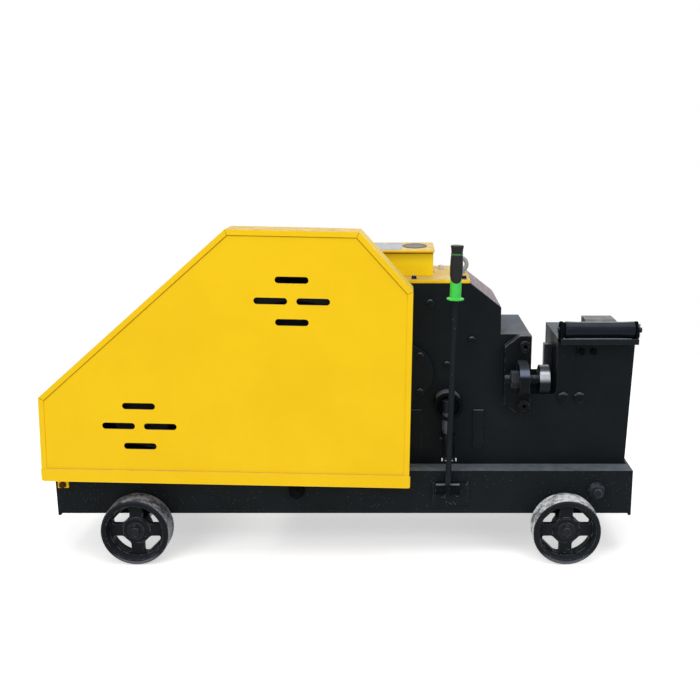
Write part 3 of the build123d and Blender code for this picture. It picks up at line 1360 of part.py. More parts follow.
save(lever_bracket, "lever_bracket")

with BuildPart() as lever_pivot_pin:
    with BuildSketch(facing_right(lug_lefts[0])):
        with Locations((lever_y, LEVER_PIVOT_Z)):
            Circle(PIVOT_RADIUS)
    extrude(amount=lug_lefts[1] + LEVER_LUG_WIDTH - lug_lefts[0])
save(lever_pivot_pin, "lever_pivot_pin")


# Grip on the lever: flanged core, sleeve over it and end cap
def grip_ring(start, end, radius, bore):
    """Tube along the lever for the piece being built, between two heights above the grip's foot."""
    with BuildSketch(lever_face(GRIP_START + start)) as ring:
        Circle(radius)
        Circle(bore, mode=Mode.SUBTRACT)
    extrude(ring.sketch, amount=end - start)


rod_seat = LEVER_RADIUS + SEAT_CLEARANCE
cap_start = GRIP_LENGTH - GRIP_CAP
ring_start = cap_start - GRIP_RING
with BuildPart() as grip_core:
    grip_ring(0, GRIP_FLANGE, GRIP_FLANGE_RADIUS, rod_seat)
    grip_ring(GRIP_FLANGE, ring_start, GRIP_CORE_RADIUS, rod_seat)
    grip_ring(ring_start, cap_start, GRIP_RADIUS, rod_seat)
save(grip_core, "grip_core")

with BuildPart() as grip_sleeve:
    grip_ring(GRIP_BARE, ring_start, GRIP_RADIUS, GRIP_CORE_RADIUS + SEAT_CLEARANCE)
    with BuildSketch(lever_face(GRIP_START + cap_start)):
        Circle(GRIP_RADIUS)
    extrude(amount=GRIP_CAP)
    with BuildSketch(lever_face(GRIP_START + cap_start)):
        Circle(rod_seat)
    extrude(amount=LEVER_LENGTH - GRIP_START - cap_start, mode=Mode.SUBTRACT)
save(grip_sleeve, "grip_sleeve")

# Stop bracket: bolted plate with a D-shaped lug for the stop screw
screw_places = [(CAP_SCREW_X, DRIVE_Z + hand * CAP_SCREW_SPACING / 2) for hand in (-1, 1)]
stop_axis = (stop_axis_y, DRIVE_Z)
stop_bore = STOP_SCREW_RADIUS + RUNNING_CLEARANCE
with BuildPart() as stop_bracket:
    stop_plate_top = DRIVE_Z + STOP_PLATE_HEIGHT / 2
    stop_plate_bottom = DRIVE_Z - STOP_PLATE_HEIGHT / 2
    with BuildSketch(facing_front(body_front)):
        with BuildLine():
            Polyline(
                (MOUTH_LEFT, stop_plate_bottom),
                (MOUTH_LEFT, stop_plate_top),
                (STOP_PLATE_LEFT + STOP_CHAMFER_X, stop_plate_top),
                (STOP_PLATE_LEFT, stop_plate_top - STOP_CHAMFER_Z),
                (STOP_PLATE_LEFT, stop_plate_bottom + STOP_CHAMFER_Z),
                (STOP_PLATE_LEFT + STOP_CHAMFER_X, stop_plate_bottom),
                close=True,
            )
        make_face()
        with Locations(*screw_places):
            Circle(CAP_SCREW_RADIUS + SEAT_CLEARANCE, mode=Mode.SUBTRACT)
    extrude(amount=STOP_PLATE)
    with BuildSketch(facing_right(STOP_LUG_LEFT)):
        with Locations(stop_axis):
            Circle(STOP_LUG_RADIUS)
        with Locations(((stop_axis_y + stop_plate_face) / 2, DRIVE_Z)):
            Rectangle(stop_plate_face - stop_axis_y, 2 * STOP_LUG_RADIUS)
        with Locations(stop_axis):
            Circle(stop_bore, mode=Mode.SUBTRACT)
    extrude(amount=STOP_LUG)
save(stop_bracket, "stop_bracket")

with BuildPart() as stop_bracket_screws:
    head_face = stop_plate_face - CAP_SCREW_HEAD
    with BuildSketch(facing_front(head_face)):
        with Locations(*screw_places):
            Circle(CAP_SCREW_HEAD_RADIUS)
    extrude(amount=-CAP_SCREW_HEAD)
    with BuildSketch(facing_front(stop_plate_face)):
        with Locations(*screw_places):
            Circle(CAP_SCREW_RADIUS)
    extrude(amount=-STOP_PLATE)
save(stop_bracket_screws, "stop_bracket_screws")

# Stop screw with its round head, and the lock nut against the lug
with BuildPart() as stop_screw:
    with BuildSketch(facing_right(STOP_HEAD_LEFT)):
        with Locations(stop_axis):
            Circle(STOP_HEAD_RADIUS)
    extrude(amount=STOP_HEAD)
    chamfer(stop_screw.edges(), STOP_HEAD_EDGE)
    with BuildSketch(facing_right(STOP_SCREW_LEFT)):
        with Locations(stop_axis):
            Circle(STOP_SCREW_RADIUS)
    extrude(amount=STOP_HEAD_LEFT - STOP_SCREW_LEFT)
save(stop_screw, "stop_screw")

with BuildPart() as lock_nut:
    with BuildSketch(facing_right(STOP_LUG_LEFT)):
        with Locations(stop_axis):
            RegularPolygon(hexagon(STOP_NUT_FLATS), 6)
            Circle(stop_bore, mode=Mode.SUBTRACT)
    extrude(amount=-STOP_NUT)
save(lock_nut, "lock_nut")

# Support roller: tube with end hubs on a fixed shaft
roller_right = ROLLER_LEFT + ROLLER_LENGTH
roller_axis = (roller_y, roller_z)
with BuildPart() as roller:
    with BuildSketch(facing_right(ROLLER_LEFT)):
        with Locations(roller_axis):
            Circle(ROLLER_RADIUS)
            Circle(ROLLER_SHAFT_RADIUS + RUNNING_CLEARANCE, mode=Mode.SUBTRACT)
    extrude(amount=ROLLER_LENGTH)
    with BuildSketch(facing_right(ROLLER_LEFT + ROLLER_HUB)):
        with Locations(roller_axis):
            Circle(ROLLER_RADIUS - ROLLER_WALL)
    extrude(amount=ROLLER_LENGTH - 2 * ROLLER_HUB, mode=Mode.SUBTRACT)
save(roller, "roller")

with BuildPart() as roller_shaft:
    with BuildSketch(facing_right(ROLLER_SHAFT_LEFT)):
        with Locations(roller_axis):
            Circle(ROLLER_SHAFT_RADIUS)
    extrude(amount=ROLLER_SHAFT_RIGHT - ROLLER_SHAFT_LEFT)
save(roller_shaft, "roller_shaft")

# Trough bracket of the roller: floor with a front lip, two cheeks and a bolted tab
cheek_lefts = (ROLLER_LEFT - CHEEK_LEFT_GAP - CHEEK, roller_right + CHEEK_RIGHT_GAP)
with BuildPart() as roller_bracket:
    with BuildSketch(facing_right(cheek_lefts[0])):
        with BuildLine():
            Polyline(
                (body_front, trough_z),
                (body_front, trough_z + TROUGH_SHEET),
                (trough_front + TROUGH_SHEET, trough_z + TROUGH_SHEET),
                (trough_front + TROUGH_SHEET, trough_z + TROUGH_LIP),
                (trough_front, trough_z + TROUGH_LIP),
                (trough_front, trough_z),
                close=True,
            )
        make_face()
    extrude(amount=cheek_lefts[1] + CHEEK - cheek_lefts[0])
    for cheek_left in cheek_lefts:
        with BuildSketch(facing_right(cheek_left)):
            with Locations(roller_axis):
                Circle(CHEEK_WIDTH / 2)
            with Locations((roller_y, (trough_z + roller_z) / 2)):
                Rectangle(CHEEK_WIDTH, roller_z - trough_z)
            with Locations(roller_axis):
                Circle(ROLLER_SHAFT_RADIUS + SEAT_CLEARANCE, mode=Mode.SUBTRACT)
        extrude(amount=CHEEK)
    with BuildSketch(facing_front(body_front)):
        with Locations((ROLLER_TAB_X, trough_z - ROLLER_TAB_HEIGHT / 2)):
            Rectangle(ROLLER_TAB_WIDTH, ROLLER_TAB_HEIGHT)
    extrude(amount=TROUGH_SHEET)
save(roller_bracket, "roller_bracket")

# Hexagon bolts on the body's faces, the covers, the feet and the brackets
cap_angle = radians(CRANK_CAP_BOLT_ANGLE)
cap_bolt_x = CRANK_CAP_BOLT_CIRCLE * cos(cap_angle)
cap_bolt_z = CRANK_CAP_BOLT_CIRCLE * sin(cap_angle)
cap_bolts = [(CRANK_X + i * cap_bolt_x, DRIVE_Z + j * cap_bolt_z) for i in (-1, 1) for j in (-1, 1)]
cover_bolts = [(x, j * cover_bolt_y) for x in (COVER_BOLT_LEFT, COVER_BOLT_RIGHT) for j in (-1, 1)]
cover_bolts.append((COVER_BOLT_MIDDLE, -cover_bolt_y))
jaw_bolts = [(JAW_BOLT_X + i * JAW_BOLT_SPACING / 2, JAW_BOLT_Z) for i in (-1, 1)]
tab_bolt_z = trough_z - ROLLER_TAB_BOLT_DROP
tab_bolts = [(ROLLER_TAB_X + i * ROLLER_TAB_BOLT_SPACING / 2, tab_bolt_z) for i in (-1, 1)]
bracket_bolts = [(x, BRACKET_BOLT_Z) for x in (left_bracket_x, RIGHT_BRACKET_X)]
foot_bolt_x = MOTOR_FOOT_SPACING / 2 + MOTOR_FOOT_WIDTH / 4
motor_bolts = [
    (MOTOR_X + i * foot_bolt_x, MOTOR_FRONT + MOTOR_LENGTH / 2 + j * MOTOR_BOLT_SPACING / 2)
    for i in (-1, 1)
    for j in (-1, 1)
]
rear_inset = REAR_COVER_INSET + REAR_BOLT_MARGIN
rear_floor = REAR_COVER_BOTTOM + REAR_BOLT_MARGIN
rear_corners = gearbox_outline(rear_inset, rear_floor, REAR_COVER_RIGHT - REAR_BOLT_MARGIN)
front_groups = (
    (body_front, SIDE_BOLTS, BOLT_FLATS),
    (body_front, jaw_bolts, JAW_BOLT_FLATS),
    (body_front - CRANK_CAP, cap_bolts, BOLT_FLATS),
    (body_front - TROUGH_SHEET, tab_bolts, BOLT_FLATS),
    (-web_face - BRACKET_SHEET, bracket_bolts, BOLT_FLATS),
)
with BuildPart() as body_bolts:
    for y, places, flats in front_groups:
        with BuildSketch(facing_front(y)):
            with Locations(*places):
                RegularPolygon(hexagon(flats), 6)
        extrude(amount=BOLT_HEAD)
    with BuildSketch(facing_front(rear_face)):
        with Locations(*rear_corners):
            RegularPolygon(hexagon(BOLT_FLATS), 6)
    extrude(amount=-BOLT_HEAD)
    top_groups = (
        (cover_top, cover_bolts, COVER_BOLT_FLATS),
        (motor_z - MOTOR_SHAFT_HEIGHT + MOTOR_FOOT, motor_bolts, BOLT_FLATS),
    )
    for z, places, flats in top_groups:
        with BuildSketch(level(z)):
            with Locations(*places):
                RegularPolygon(hexagon(flats), 6)
        extrude(amount=BOLT_HEAD)
save(body_bolts, "body_bolts")
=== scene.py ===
"""Looks of the wheeled steel-bar cutter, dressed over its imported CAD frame. Metres, +Z up."""
import json
from math import asin, atan2, cos, pi, radians, sin, sqrt

import bmesh
import bpy
from mathutils import Matrix, Vector

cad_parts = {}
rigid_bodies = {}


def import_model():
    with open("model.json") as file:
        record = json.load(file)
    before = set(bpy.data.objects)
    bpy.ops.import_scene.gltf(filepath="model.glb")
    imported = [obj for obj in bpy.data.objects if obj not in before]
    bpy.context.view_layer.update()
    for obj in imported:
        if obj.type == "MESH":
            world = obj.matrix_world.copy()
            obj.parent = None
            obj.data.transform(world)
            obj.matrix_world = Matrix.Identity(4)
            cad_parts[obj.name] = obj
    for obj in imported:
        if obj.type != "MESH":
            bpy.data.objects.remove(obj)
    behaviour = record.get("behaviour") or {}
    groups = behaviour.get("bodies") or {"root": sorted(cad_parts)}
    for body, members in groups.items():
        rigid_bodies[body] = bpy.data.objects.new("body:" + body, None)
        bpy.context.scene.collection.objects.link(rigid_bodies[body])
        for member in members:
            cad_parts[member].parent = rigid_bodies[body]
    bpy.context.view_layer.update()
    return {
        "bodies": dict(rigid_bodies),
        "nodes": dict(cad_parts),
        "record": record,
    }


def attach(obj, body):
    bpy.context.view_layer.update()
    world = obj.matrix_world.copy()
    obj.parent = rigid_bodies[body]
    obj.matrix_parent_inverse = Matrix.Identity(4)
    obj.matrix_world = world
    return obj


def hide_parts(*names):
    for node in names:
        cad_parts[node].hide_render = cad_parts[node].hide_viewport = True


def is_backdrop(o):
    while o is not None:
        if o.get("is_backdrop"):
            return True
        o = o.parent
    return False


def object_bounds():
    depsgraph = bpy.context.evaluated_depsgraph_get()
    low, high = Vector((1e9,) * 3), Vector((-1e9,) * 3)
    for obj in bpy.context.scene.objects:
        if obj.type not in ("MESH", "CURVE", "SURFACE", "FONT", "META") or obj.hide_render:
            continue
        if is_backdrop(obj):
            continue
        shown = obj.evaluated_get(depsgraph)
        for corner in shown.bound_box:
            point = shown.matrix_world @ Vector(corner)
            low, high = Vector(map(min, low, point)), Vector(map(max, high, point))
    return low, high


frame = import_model()
nodes = frame["nodes"]
scene = bpy.context.scene
scene.view_settings.view_transform = "Standard"

# Directions, and the machine's main places in millimetres
MM = 0.001
RIGHT = (1, 0, 0)
BACK = (0, 1, 0)
UP = (0, 0, 1)
AXLES = {"left": -454, "right": 492}
WHEEL_RADIUS = 75
WHEEL_FACE = 235
CHANNEL_FACE = 175
COVER_TOP = 615
STOP_Z = 410


# Node trees: shared helpers for shaders and Geometry Nodes

def fill(node, sockets):
    """Link or set a node's inputs. A list is linked to one input."""
    for key, value in sockets.items():
        for source in value if isinstance(value, list) else [value]:
            if isinstance(source, bpy.types.NodeSocket):
                node.id_data.links.new(source, node.inputs[key])
            else:
                node.inputs[key].default_value = source


def put_node(tree, kind, sockets=None, **settings):
    """Add a node, set its properties and fill its inputs."""
    node = tree.nodes.new(kind)
    for key, value in settings.items():
        setattr(node, key, value)
    fill(node, sockets or {})
    return node


def put(tree, kind, sockets=None, output=0, **settings):
    """Add a node and give one of its outputs."""
    return put_node(tree, kind, sockets, **settings).outputs[output]


def calc(operation, a, b=0.0):
    """Work on two numbers. The first is a socket, and the sum goes in its tree."""
    return put(a.id_data, "ShaderNodeMath", {0: a, 1: b}, operation=operation)


def plus(a, b):
    return calc("ADD", a, b)


def times(a, b):
    return calc("MULTIPLY", a, b)


def span(value, low, high, to_low=0.0, to_high=1.0):
    """Ease a value from one range into another."""
    sockets = {"Value": value, "From Min": low, "From Max": high, "To Min": to_low, "To Max": to_high}
    return put(value.id_data, "ShaderNodeMapRange", sockets, interpolation_type="SMOOTHSTEP")


def noise(place, scale, detail, **more):
    sockets = {"Vector": place, "Scale": scale, "Detail": detail, **more}
    return put(place.id_data, "ShaderNodeTexNoise", sockets)


def linear(colour):
    """A screen colour as the linear colour that a shader takes."""
    shares = [value / 255 for value in colour]
    return (*(one / 12.92 if one <= 0.04045 else ((one + 0.055) / 1.055) ** 2.4 for one in shares), 1.0)


def blend(share, a, b):
    """Mix two colours by a mask. Each is a socket or a screen colour."""
    sockets = {0: share}
    for key, colour in ((6, a), (7, b)):
        sockets[key] = linear(colour) if isinstance(colour, tuple) else colour
    return put(share.id_data, "ShaderNodeMix", sockets, 2, data_type="RGBA")


def object_place(tree):
    """Place of the shaded point in its object's own coordinates."""
    return put(tree, "ShaderNodeTexCoord", output="Object")


def label(key):
    """Name of a group's input from its keyword."""
    return key.replace("_", " ").title()


def number_inputs(tree, inputs):
    """Give a group its number inputs with their usual values."""
    for key, value in inputs.items():
        socket = tree.interface.new_socket(name=label(key), in_out="INPUT", socket_type="NodeSocketFloat")
        socket.default_value = value


# Shader groups shared by the finishes

def shader_group(name, output, **inputs):
    """Make a shader group with one output out of the function under it."""
    def build(draw):
        tree = bpy.data.node_groups.new(name, "ShaderNodeTree")
        number_inputs(tree, inputs)
        tree.interface.new_socket(name=output, in_out="OUTPUT", socket_type="NodeSocketFloat")
        given = tree.nodes.new("NodeGroupInput").outputs
        leave = tree.nodes.new("NodeGroupOutput").inputs
        tree.links.new(draw(tree, given, object_place(tree)), leave[0])
        return tree
    return build


@shader_group("Edge wear", "Mask", reach=0.002, breakup=90.0, amount=0.6)
def edge_wear(tree, given, place):
    """Mask of exposed edges, broken up by noise."""
    softened = put(tree, "ShaderNodeBevel", {"Radius": given["Reach"]}, samples=6)
    flat = put(tree, "ShaderNodeNewGeometry", output="Normal")
    match = put(tree, "ShaderNodeVectorMath", {0: softened, 1: flat}, "Value", operation="DOT_PRODUCT")
    broken = span(noise(place, given["Breakup"], 4.0), 0.42, 0.62)
    return times(times(span(match, 0.99, 0.86), broken), given["Amount"])


@shader_group("Specks", "Mask", scale=160.0, share=0.12, size=0.22)
def specks(tree, given, place):
    """Mask of small scattered specks, such as grit and chips."""
    cells = put_node(tree, "ShaderNodeTexVoronoi", {"Vector": place, "Scale": given["Scale"]}).outputs
    draw = put_node(tree, "ShaderNodeSeparateColor", {0: cells["Color"]}).outputs
    patch = span(noise(place, 14.0, 3.0), 0.35, 0.65, 0.1, 1.9)
    chosen = calc("LESS_THAN", draw[0], times(given["Share"], patch))
    reach = times(given["Size"], plus(times(draw[1], 0.8), 0.3))
    return times(chosen, calc("LESS_THAN", cells["Distance"], reach))


@shader_group("Mottle", "Drift", scale=6.0, roughness=0.6)
def mottle(tree, given, place):
    """Slow drift of a finish over a surface, from 0 to 1."""
    drift = noise(place, given["Scale"], 6.0, Roughness=given["Roughness"])
    return span(drift, 0.3, 0.7)


@shader_group("Grain", "Height", fine=700.0, coarse=120.0, lumps=0.4)
def grain(tree, given, place):
    """Height of a cast or sprayed surface: fine grain over soft lumps."""
    lumps = times(noise(place, given["Coarse"], 3.0), given["Lumps"])
    return plus(noise(place, given["Fine"], 2.0), lumps)


@shader_group("Dust", "Mask", scale=40.0, amount=0.5)
def dust(tree, given, place):
    """Mask of dust lying on faces that look up."""
    normal = put(tree, "ShaderNodeTexCoord", output="Normal")
    upward = put(tree, "ShaderNodeSeparateXYZ", {0: normal}, "Z")
    patchy = span(noise(place, given["Scale"], 5.0), 0.25, 0.75, 0.62, 1.0)
    return times(times(span(upward, 0.25, 0.88), patchy), given["Amount"])


@shader_group("Tool marks", "Lines", along_x=20.0, along_y=900.0, along_z=900.0)
def tool_marks(tree, given, place):
    """Fine lines left by a tool, run along the axis with the smallest stretch."""
    stretch = put(tree, "ShaderNodeCombineXYZ", {k: given[k] for k in range(3)})
    moved = put(tree, "ShaderNodeVectorMath", {0: place, 1: stretch}, operation="MULTIPLY")
    return span(noise(moved, 1.0, 3.0), 0.3, 0.7)


def use(tree, group, **values):
    """Output of a shader group that is placed in a material with its own values."""
    sockets = {label(key): value for key, value in values.items()}
    return put(tree, "ShaderNodeGroup", sockets, node_tree=group)


# Ways of finishing: each gives a material. Colours are screen colours

GREY_DUST = (120, 127, 137)
WARM_DUST = (132, 122, 108)
WORN_STEEL = (225, 225, 228)
SPRAYED = {"fine": 900.0, "coarse": 160.0, "lumps": 0.6}
CAST = {"fine": 420.0, "coarse": 70.0, "lumps": 1.2}
MOULDED = {"fine": 1500.0, "coarse": 500.0, "lumps": 0.8}


def tool_path(axis, on_axis, off_axis):
    """Stretch of the tool marks on one axis and on the other two."""
    return {"along_" + name: on_axis if name == axis else off_axis for name in "xyz"}


ALONG_X = tool_path("x", 12.0, 700.0)
ALONG_Y = tool_path("y", 12.0, 700.0)
ALONG_Z = tool_path("z", 12.0, 700.0)
AROUND_X = tool_path("x", 900.0, 60.0)
AROUND_Y = tool_path("y", 900.0, 60.0)


def finish(name):
    """A new material with its tree and its principled shader."""
    material = bpy.data.materials.new(name)
    material.use_nodes = True
    tree = material.node_tree
    return material, tree, tree.nodes["Principled BSDF"]


def bumps(height, depth, rise):
    """Normal of a surface with bumps of a strength and a real height."""
    return put(height.id_data, "ShaderNodeBump", {"Height": height, "Strength": depth, "Distance": rise})


def enamel(name, colour, deep, bare, rough=0.4, chips=0.02, wear=0.3, dusty=0.0, sheen=0.05,
           dirt=GREY_DUST, reach=0.0016, grit=0.15, skin=SPRAYED, depth=0.12, rise=0.0004):
    """Enamel with drift in its colour, chips, worn edges and dust, over a sprayed or cast skin."""
    material, tree, shader = finish(name)
    drift = use(tree, mottle, scale=5.0)
    worn = use(tree, edge_wear, reach=reach, amount=wear)
    chip = use(tree, specks, scale=210.0, share=chips, size=grit)
    lying = use(tree, dust, scale=45.0, amount=dusty)
    painted = blend(calc("MAXIMUM", worn, chip), blend(drift, colour, deep), bare)
    roughness = plus(span(drift, 0.0, 1.0, rough - 0.06, rough + 0.08), times(lying, 0.3))
    fill(shader, {"Base Color": blend(lying, painted, dirt), "Roughness": roughness,
                  "Specular IOR Level": sheen, "Normal": bumps(use(tree, grain, **skin), depth, rise)})
    return material


def casting(name, colour, deep, bare, depth=0.25, **paint):
    """Painted rough casting."""
    return enamel(name, colour, deep, bare, skin=CAST, depth=depth, rise=0.001, **paint)


def steel(name, colour, deep, rough, marks):
    """Bare machined steel with tool marks along or around one axis."""
    material, tree, shader = finish(name)
    lines = use(tree, tool_marks, **marks)
    ground = blend(times(lines, use(tree, mottle, scale=30.0)), colour, deep)
    worn = use(tree, edge_wear, reach=0.001, amount=0.3)
    roughness = span(lines, 0.0, 1.0, rough - 0.08, rough + 0.1)
    fill(shader, {"Base Color": blend(worn, ground, WORN_STEEL), "Metallic": 1.0, "Roughness": roughness,
                  "Normal": bumps(lines, 0.12, 0.0002)})
    return material


def soft_plastic(name, colour, deep, rough, depth):
    """Moulded plastic or rubber with a dull skin."""
    material, tree, shader = finish(name)
    drift = use(tree, mottle, scale=60.0)
    roughness = span(drift, 0.0, 1.0, rough - 0.05, rough + 0.08)
    fill(shader, {"Base Color": blend(drift, colour, deep), "Roughness": roughness,
                  "Specular IOR Level": 0.25, "Normal": bumps(use(tree, grain, **MOULDED), depth, 0.0003)})
    return material


def lay_over(material, share, colour):
    """Lay a colour over a finish by a mask."""
    tree = material.node_tree
    base = tree.nodes["Principled BSDF"].inputs["Base Color"]
    tree.links.new(blend(share, base.links[0].from_socket, colour), base)


def shade_by_height(material, colour, start, full, most=1.0, fade=None):
    """Lay a colour over a finish, growing from one height to another. It may fade again higher up."""
    tree = material.node_tree
    height = put(tree, "ShaderNodeSeparateXYZ", {0: object_place(tree)}, "Z")
    share = span(height, start * MM, full * MM, 0.0, most)
    if fade:
        begins, gone = fade
        share = times(share, span(height, gone * MM, begins * MM))
    lay_over(material, share, colour)


def worn_wheel():
    """Black cast wheel with its tread bared to grey iron: paler at the right axle, darker at the left."""
    material = casting("Worn wheel iron", (21, 24, 27), (30, 33, 37), (150, 153, 160),
                       depth=0.3, rough=0.42, chips=0.1, wear=0.9, dusty=0.1)
    tree = material.node_tree
    place = object_place(tree)
    x, _, z = put_node(tree, "ShaderNodeSeparateXYZ", {0: place}).outputs
    at_right = calc("GREATER_THAN", x, 0.0)
    apart = (AXLES["right"] - AXLES["left"]) * MM
    axle = plus(times(at_right, apart), AXLES["left"] * MM)
    across = calc("SUBTRACT", x, axle)
    up = calc("SUBTRACT", z, WHEEL_RADIUS * MM)
    radius = calc("SQRT", plus(times(across, across), times(up, up)))
    # Painted reflection: a paler band on the rim's lowest edge stands for the floor mirrored in it.
    floor_reflection_band = times(span(radius, 0.064, 0.067), span(z, 0.034, 0.01, 0.0, 0.8))
    lay_over(material, floor_reflection_band, (104, 107, 114))
    scuffs = use(tree, mottle, scale=90.0, roughness=0.95)
    patches = use(tree, mottle, scale=22.0, roughness=0.7)
    bared = span(plus(scuffs, times(patches, 0.8)), 0.35, 1.35)
    left_tread = blend(bared, (22, 24, 29), (150, 154, 166))
    rubbed = blend(bared, (62, 64, 72), (250, 252, 255))
    ragged = plus(radius, times(noise(place, 160.0, 5.0), 0.0016))
    lay_over(material, span(ragged, 0.0740, 0.0752), blend(at_right, left_tread, rubbed))
    return material


# Finishes: colour, deeper colour, the bared colour under a paint, then what differs

ON_YELLOW = {"bare": (224, 190, 80), "chips": 0.003, "wear": 0.2, "sheen": 0.18, "dirt": WARM_DUST}
yellow = enamel("Yellow enamel", (248, 204, 15), (244, 198, 11), dusty=0.62, **ON_YELLOW)
# Painted light: a lighter, less dusty copy of the yellow for the guard's slope that faces right.
lit_yellow = enamel("Yellow enamel painted lighter", (254, 220, 28), (251, 214, 22), dusty=0.55, **ON_YELLOW)
box_yellow = enamel("Switch box enamel with painted shade", (254, 222, 30), (251, 217, 24), dusty=0.5, **ON_YELLOW)
# Painted shade: the box's front darkens towards the lid that overhangs it.
shade_by_height(box_yellow, (120, 88, 4), 642.0, 668.0, most=0.5)
highlight_yellow = enamel("Yellow enamel with painted highlight", (254, 216, 64), (250, 210, 48), (255, 232, 130),
                     chips=0.0, wear=0.2, dusty=0.3, sheen=0.18, dirt=WARM_DUST)
seam_shade = enamel("Shaded seam", (176, 134, 14), (150, 112, 10), (190, 150, 40),
                    rough=0.6, chips=0.0, wear=0.1)
# A brown strip under the lid's front: partly a stain, partly painted shadow under the lid.
stain_and_shadow_brown = enamel("Brown stain and painted shadow", (104, 70, 18), (168, 124, 22), (90, 58, 20), rough=0.6, chips=0.2, wear=0.2)

black = enamel("Black enamel", (18, 22, 25), (25, 30, 33), (126, 130, 138),
               rough=0.42, chips=0.36, wear=0.35, dusty=0.8, grit=0.19)
handled_black = enamel("Handled black enamel", (25, 29, 33), (33, 37, 42), (130, 132, 138), dusty=0.3)
# Painted shade: the lever darkens towards its foot, between the bracket's lugs.
shade_by_height(handled_black, (13, 15, 17), 182.0, 168.0)
STOP_BLACK = ((14, 17, 19), (20, 23, 26), (140, 143, 150))
scuffed_black = enamel("Scuffed black enamel", *STOP_BLACK, chips=0.03, dusty=0.15, sheen=0.04, reach=0.003)
stop_lug_highlight = enamel("Stop lug with painted highlight", *STOP_BLACK, chips=0.03, dusty=0.15)
# Painted highlight: a pale bluish band across the lug's front, above the screw's axis.
shade_by_height(stop_lug_highlight, (104, 110, 131), STOP_Z + 10, STOP_Z + 18, fade=(STOP_Z + 22, STOP_Z + 29))
roller_black = enamel("Glossy roller", (17, 21, 31), (22, 26, 37), (90, 92, 104),
                      rough=0.22, chips=0.006, dusty=0.1, sheen=0.1)

cast_black = casting("Black painted casting", (19, 23, 26), (26, 31, 34), (96, 100, 106),
                     rough=0.46, chips=0.012, wear=0.35, dusty=0.6)
shaded_black = casting("Shaded black casting", (15, 18, 20), (21, 24, 26), (60, 62, 66),
                       rough=0.5, chips=0.0, wear=0.1, sheen=0.0)
dusty_black = casting("Dusty black casting", (30, 33, 36), (40, 43, 46), (96, 100, 106),
                      rough=0.5, chips=0.012, wear=0.35, dusty=1.0, dirt=(142, 141, 143))
# Painted highlight: a pale copy of the black casting for top edges and corners that catch the light, with
# wear as well.
highlight_black = casting("Black casting with painted highlight and wear", (92, 95, 102), (150, 152, 160), (190, 192, 198),
                       depth=0.12, chips=0.1, wear=0.6, dusty=0.4, sheen=0.3)
ON_FASTENER = {"bare": (150, 152, 158), "depth": 0.12, "rough": 0.36, "wear": 0.5}
dark_fastener = casting("Blackened fastener", (21, 24, 28), (33, 36, 41), dusty=0.3, sheen=0.1, **ON_FASTENER)
# Dust on the heads' upward faces, which also stands for the light on their tops: painted highlight.
dust_and_highlight_fastener = casting("Fastener with dust and painted highlight", (15, 18, 21), (24, 27, 31),
                         dusty=1.0, sheen=0.04, dirt=(138, 144, 156), **ON_FASTENER)
rusty_fastener = casting("Rusty fastener", (58, 34, 20), (84, 50, 24), (120, 90, 50),
                         depth=0.2, rough=0.6, chips=0.05, wear=0.4, dusty=0.2)
wheel_iron = worn_wheel()

PLATED = {"rough": 0.34, "wear": 0.4, "sheen": 0.5}
zinc = enamel("Zinc plating", (158, 163, 168), (130, 135, 141), (190, 192, 196), dusty=0.2, **PLATED)
fresh_zinc = enamel("Fresh zinc plating", (228, 224, 240), (206, 202, 218), (240, 240, 244),
                    dusty=0.1, **PLATED)
motor_grey = enamel("Grey motor enamel", (62, 72, 82), (72, 82, 90), (140, 142, 146), wear=0.5, dusty=0.2)
plunger_grey = enamel("Grey plunger", (66, 74, 90), (56, 63, 77), (120, 124, 134), dusty=0.2, sheen=0.2)
badge_edge = enamel("Badge edge", (84, 82, 80), (70, 68, 66), (150, 148, 146), rough=0.5, chips=0.0)
badge_face = enamel("Badge face", (100, 96, 92), (80, 76, 73), (150, 148, 145), rough=0.5, wear=0.2)

turned = steel("Turned steel", (188, 188, 190), (150, 150, 153), 0.34, AROUND_Y)
milled = steel("Milled steel", (150, 150, 153), (116, 116, 120), 0.4, ALONG_X)
bright = steel("Bright steel", (138, 141, 147), (112, 115, 121), 0.42, AROUND_X)
blade_steel = steel("Dark blade steel", (50, 53, 58), (38, 40, 45), 0.42, ALONG_Z)
grey_iron = steel("Grey iron", (120, 120, 122), (96, 96, 98), 0.5, AROUND_Y)
bronze = steel("Turned bronze", (196, 158, 96), (160, 124, 70), 0.36, AROUND_Y)
bare_plate = steel("Bare plate", (117, 105, 109), (98, 86, 90), 0.55, ALONG_Y)
pale_plate = steel("Pale plate", (120, 126, 133), (104, 110, 118), 0.5, ALONG_X)
stop_head_reflection = steel("Stop head steel with painted reflection", (154, 156, 162), (124, 126, 132), 0.36, AROUND_X)
# Painted reflection: the head is darkened below its axis and over its top, leaving a bright band between.
shade_by_height(stop_head_reflection, (30, 33, 36), STOP_Z + 11, STOP_Z - 2)
shade_by_height(stop_head_reflection, (48, 51, 53), STOP_Z + 19, STOP_Z + 25)

green = soft_plastic("Green plastic", (72, 208, 82), (60, 192, 72), 0.36, 0.05)
# Painted shade: a darker copy of the green for the ring between the sleeve and the cap.
shaded_green = soft_plastic("Green plastic with painted shade", (74, 128, 70), (62, 112, 60), 0.5, 0.05)
grip_rubber = soft_plastic("Black grip rubber", (14, 15, 17), (21, 22, 25), 0.6, 0.3)
belt_rubber = soft_plastic("Belt rubber", (32, 32, 33), (44, 43, 42), 0.75, 0.3)
fan_plastic = soft_plastic("Fan plastic", (36, 37, 38), (46, 47, 48), 0.5, 0.1)

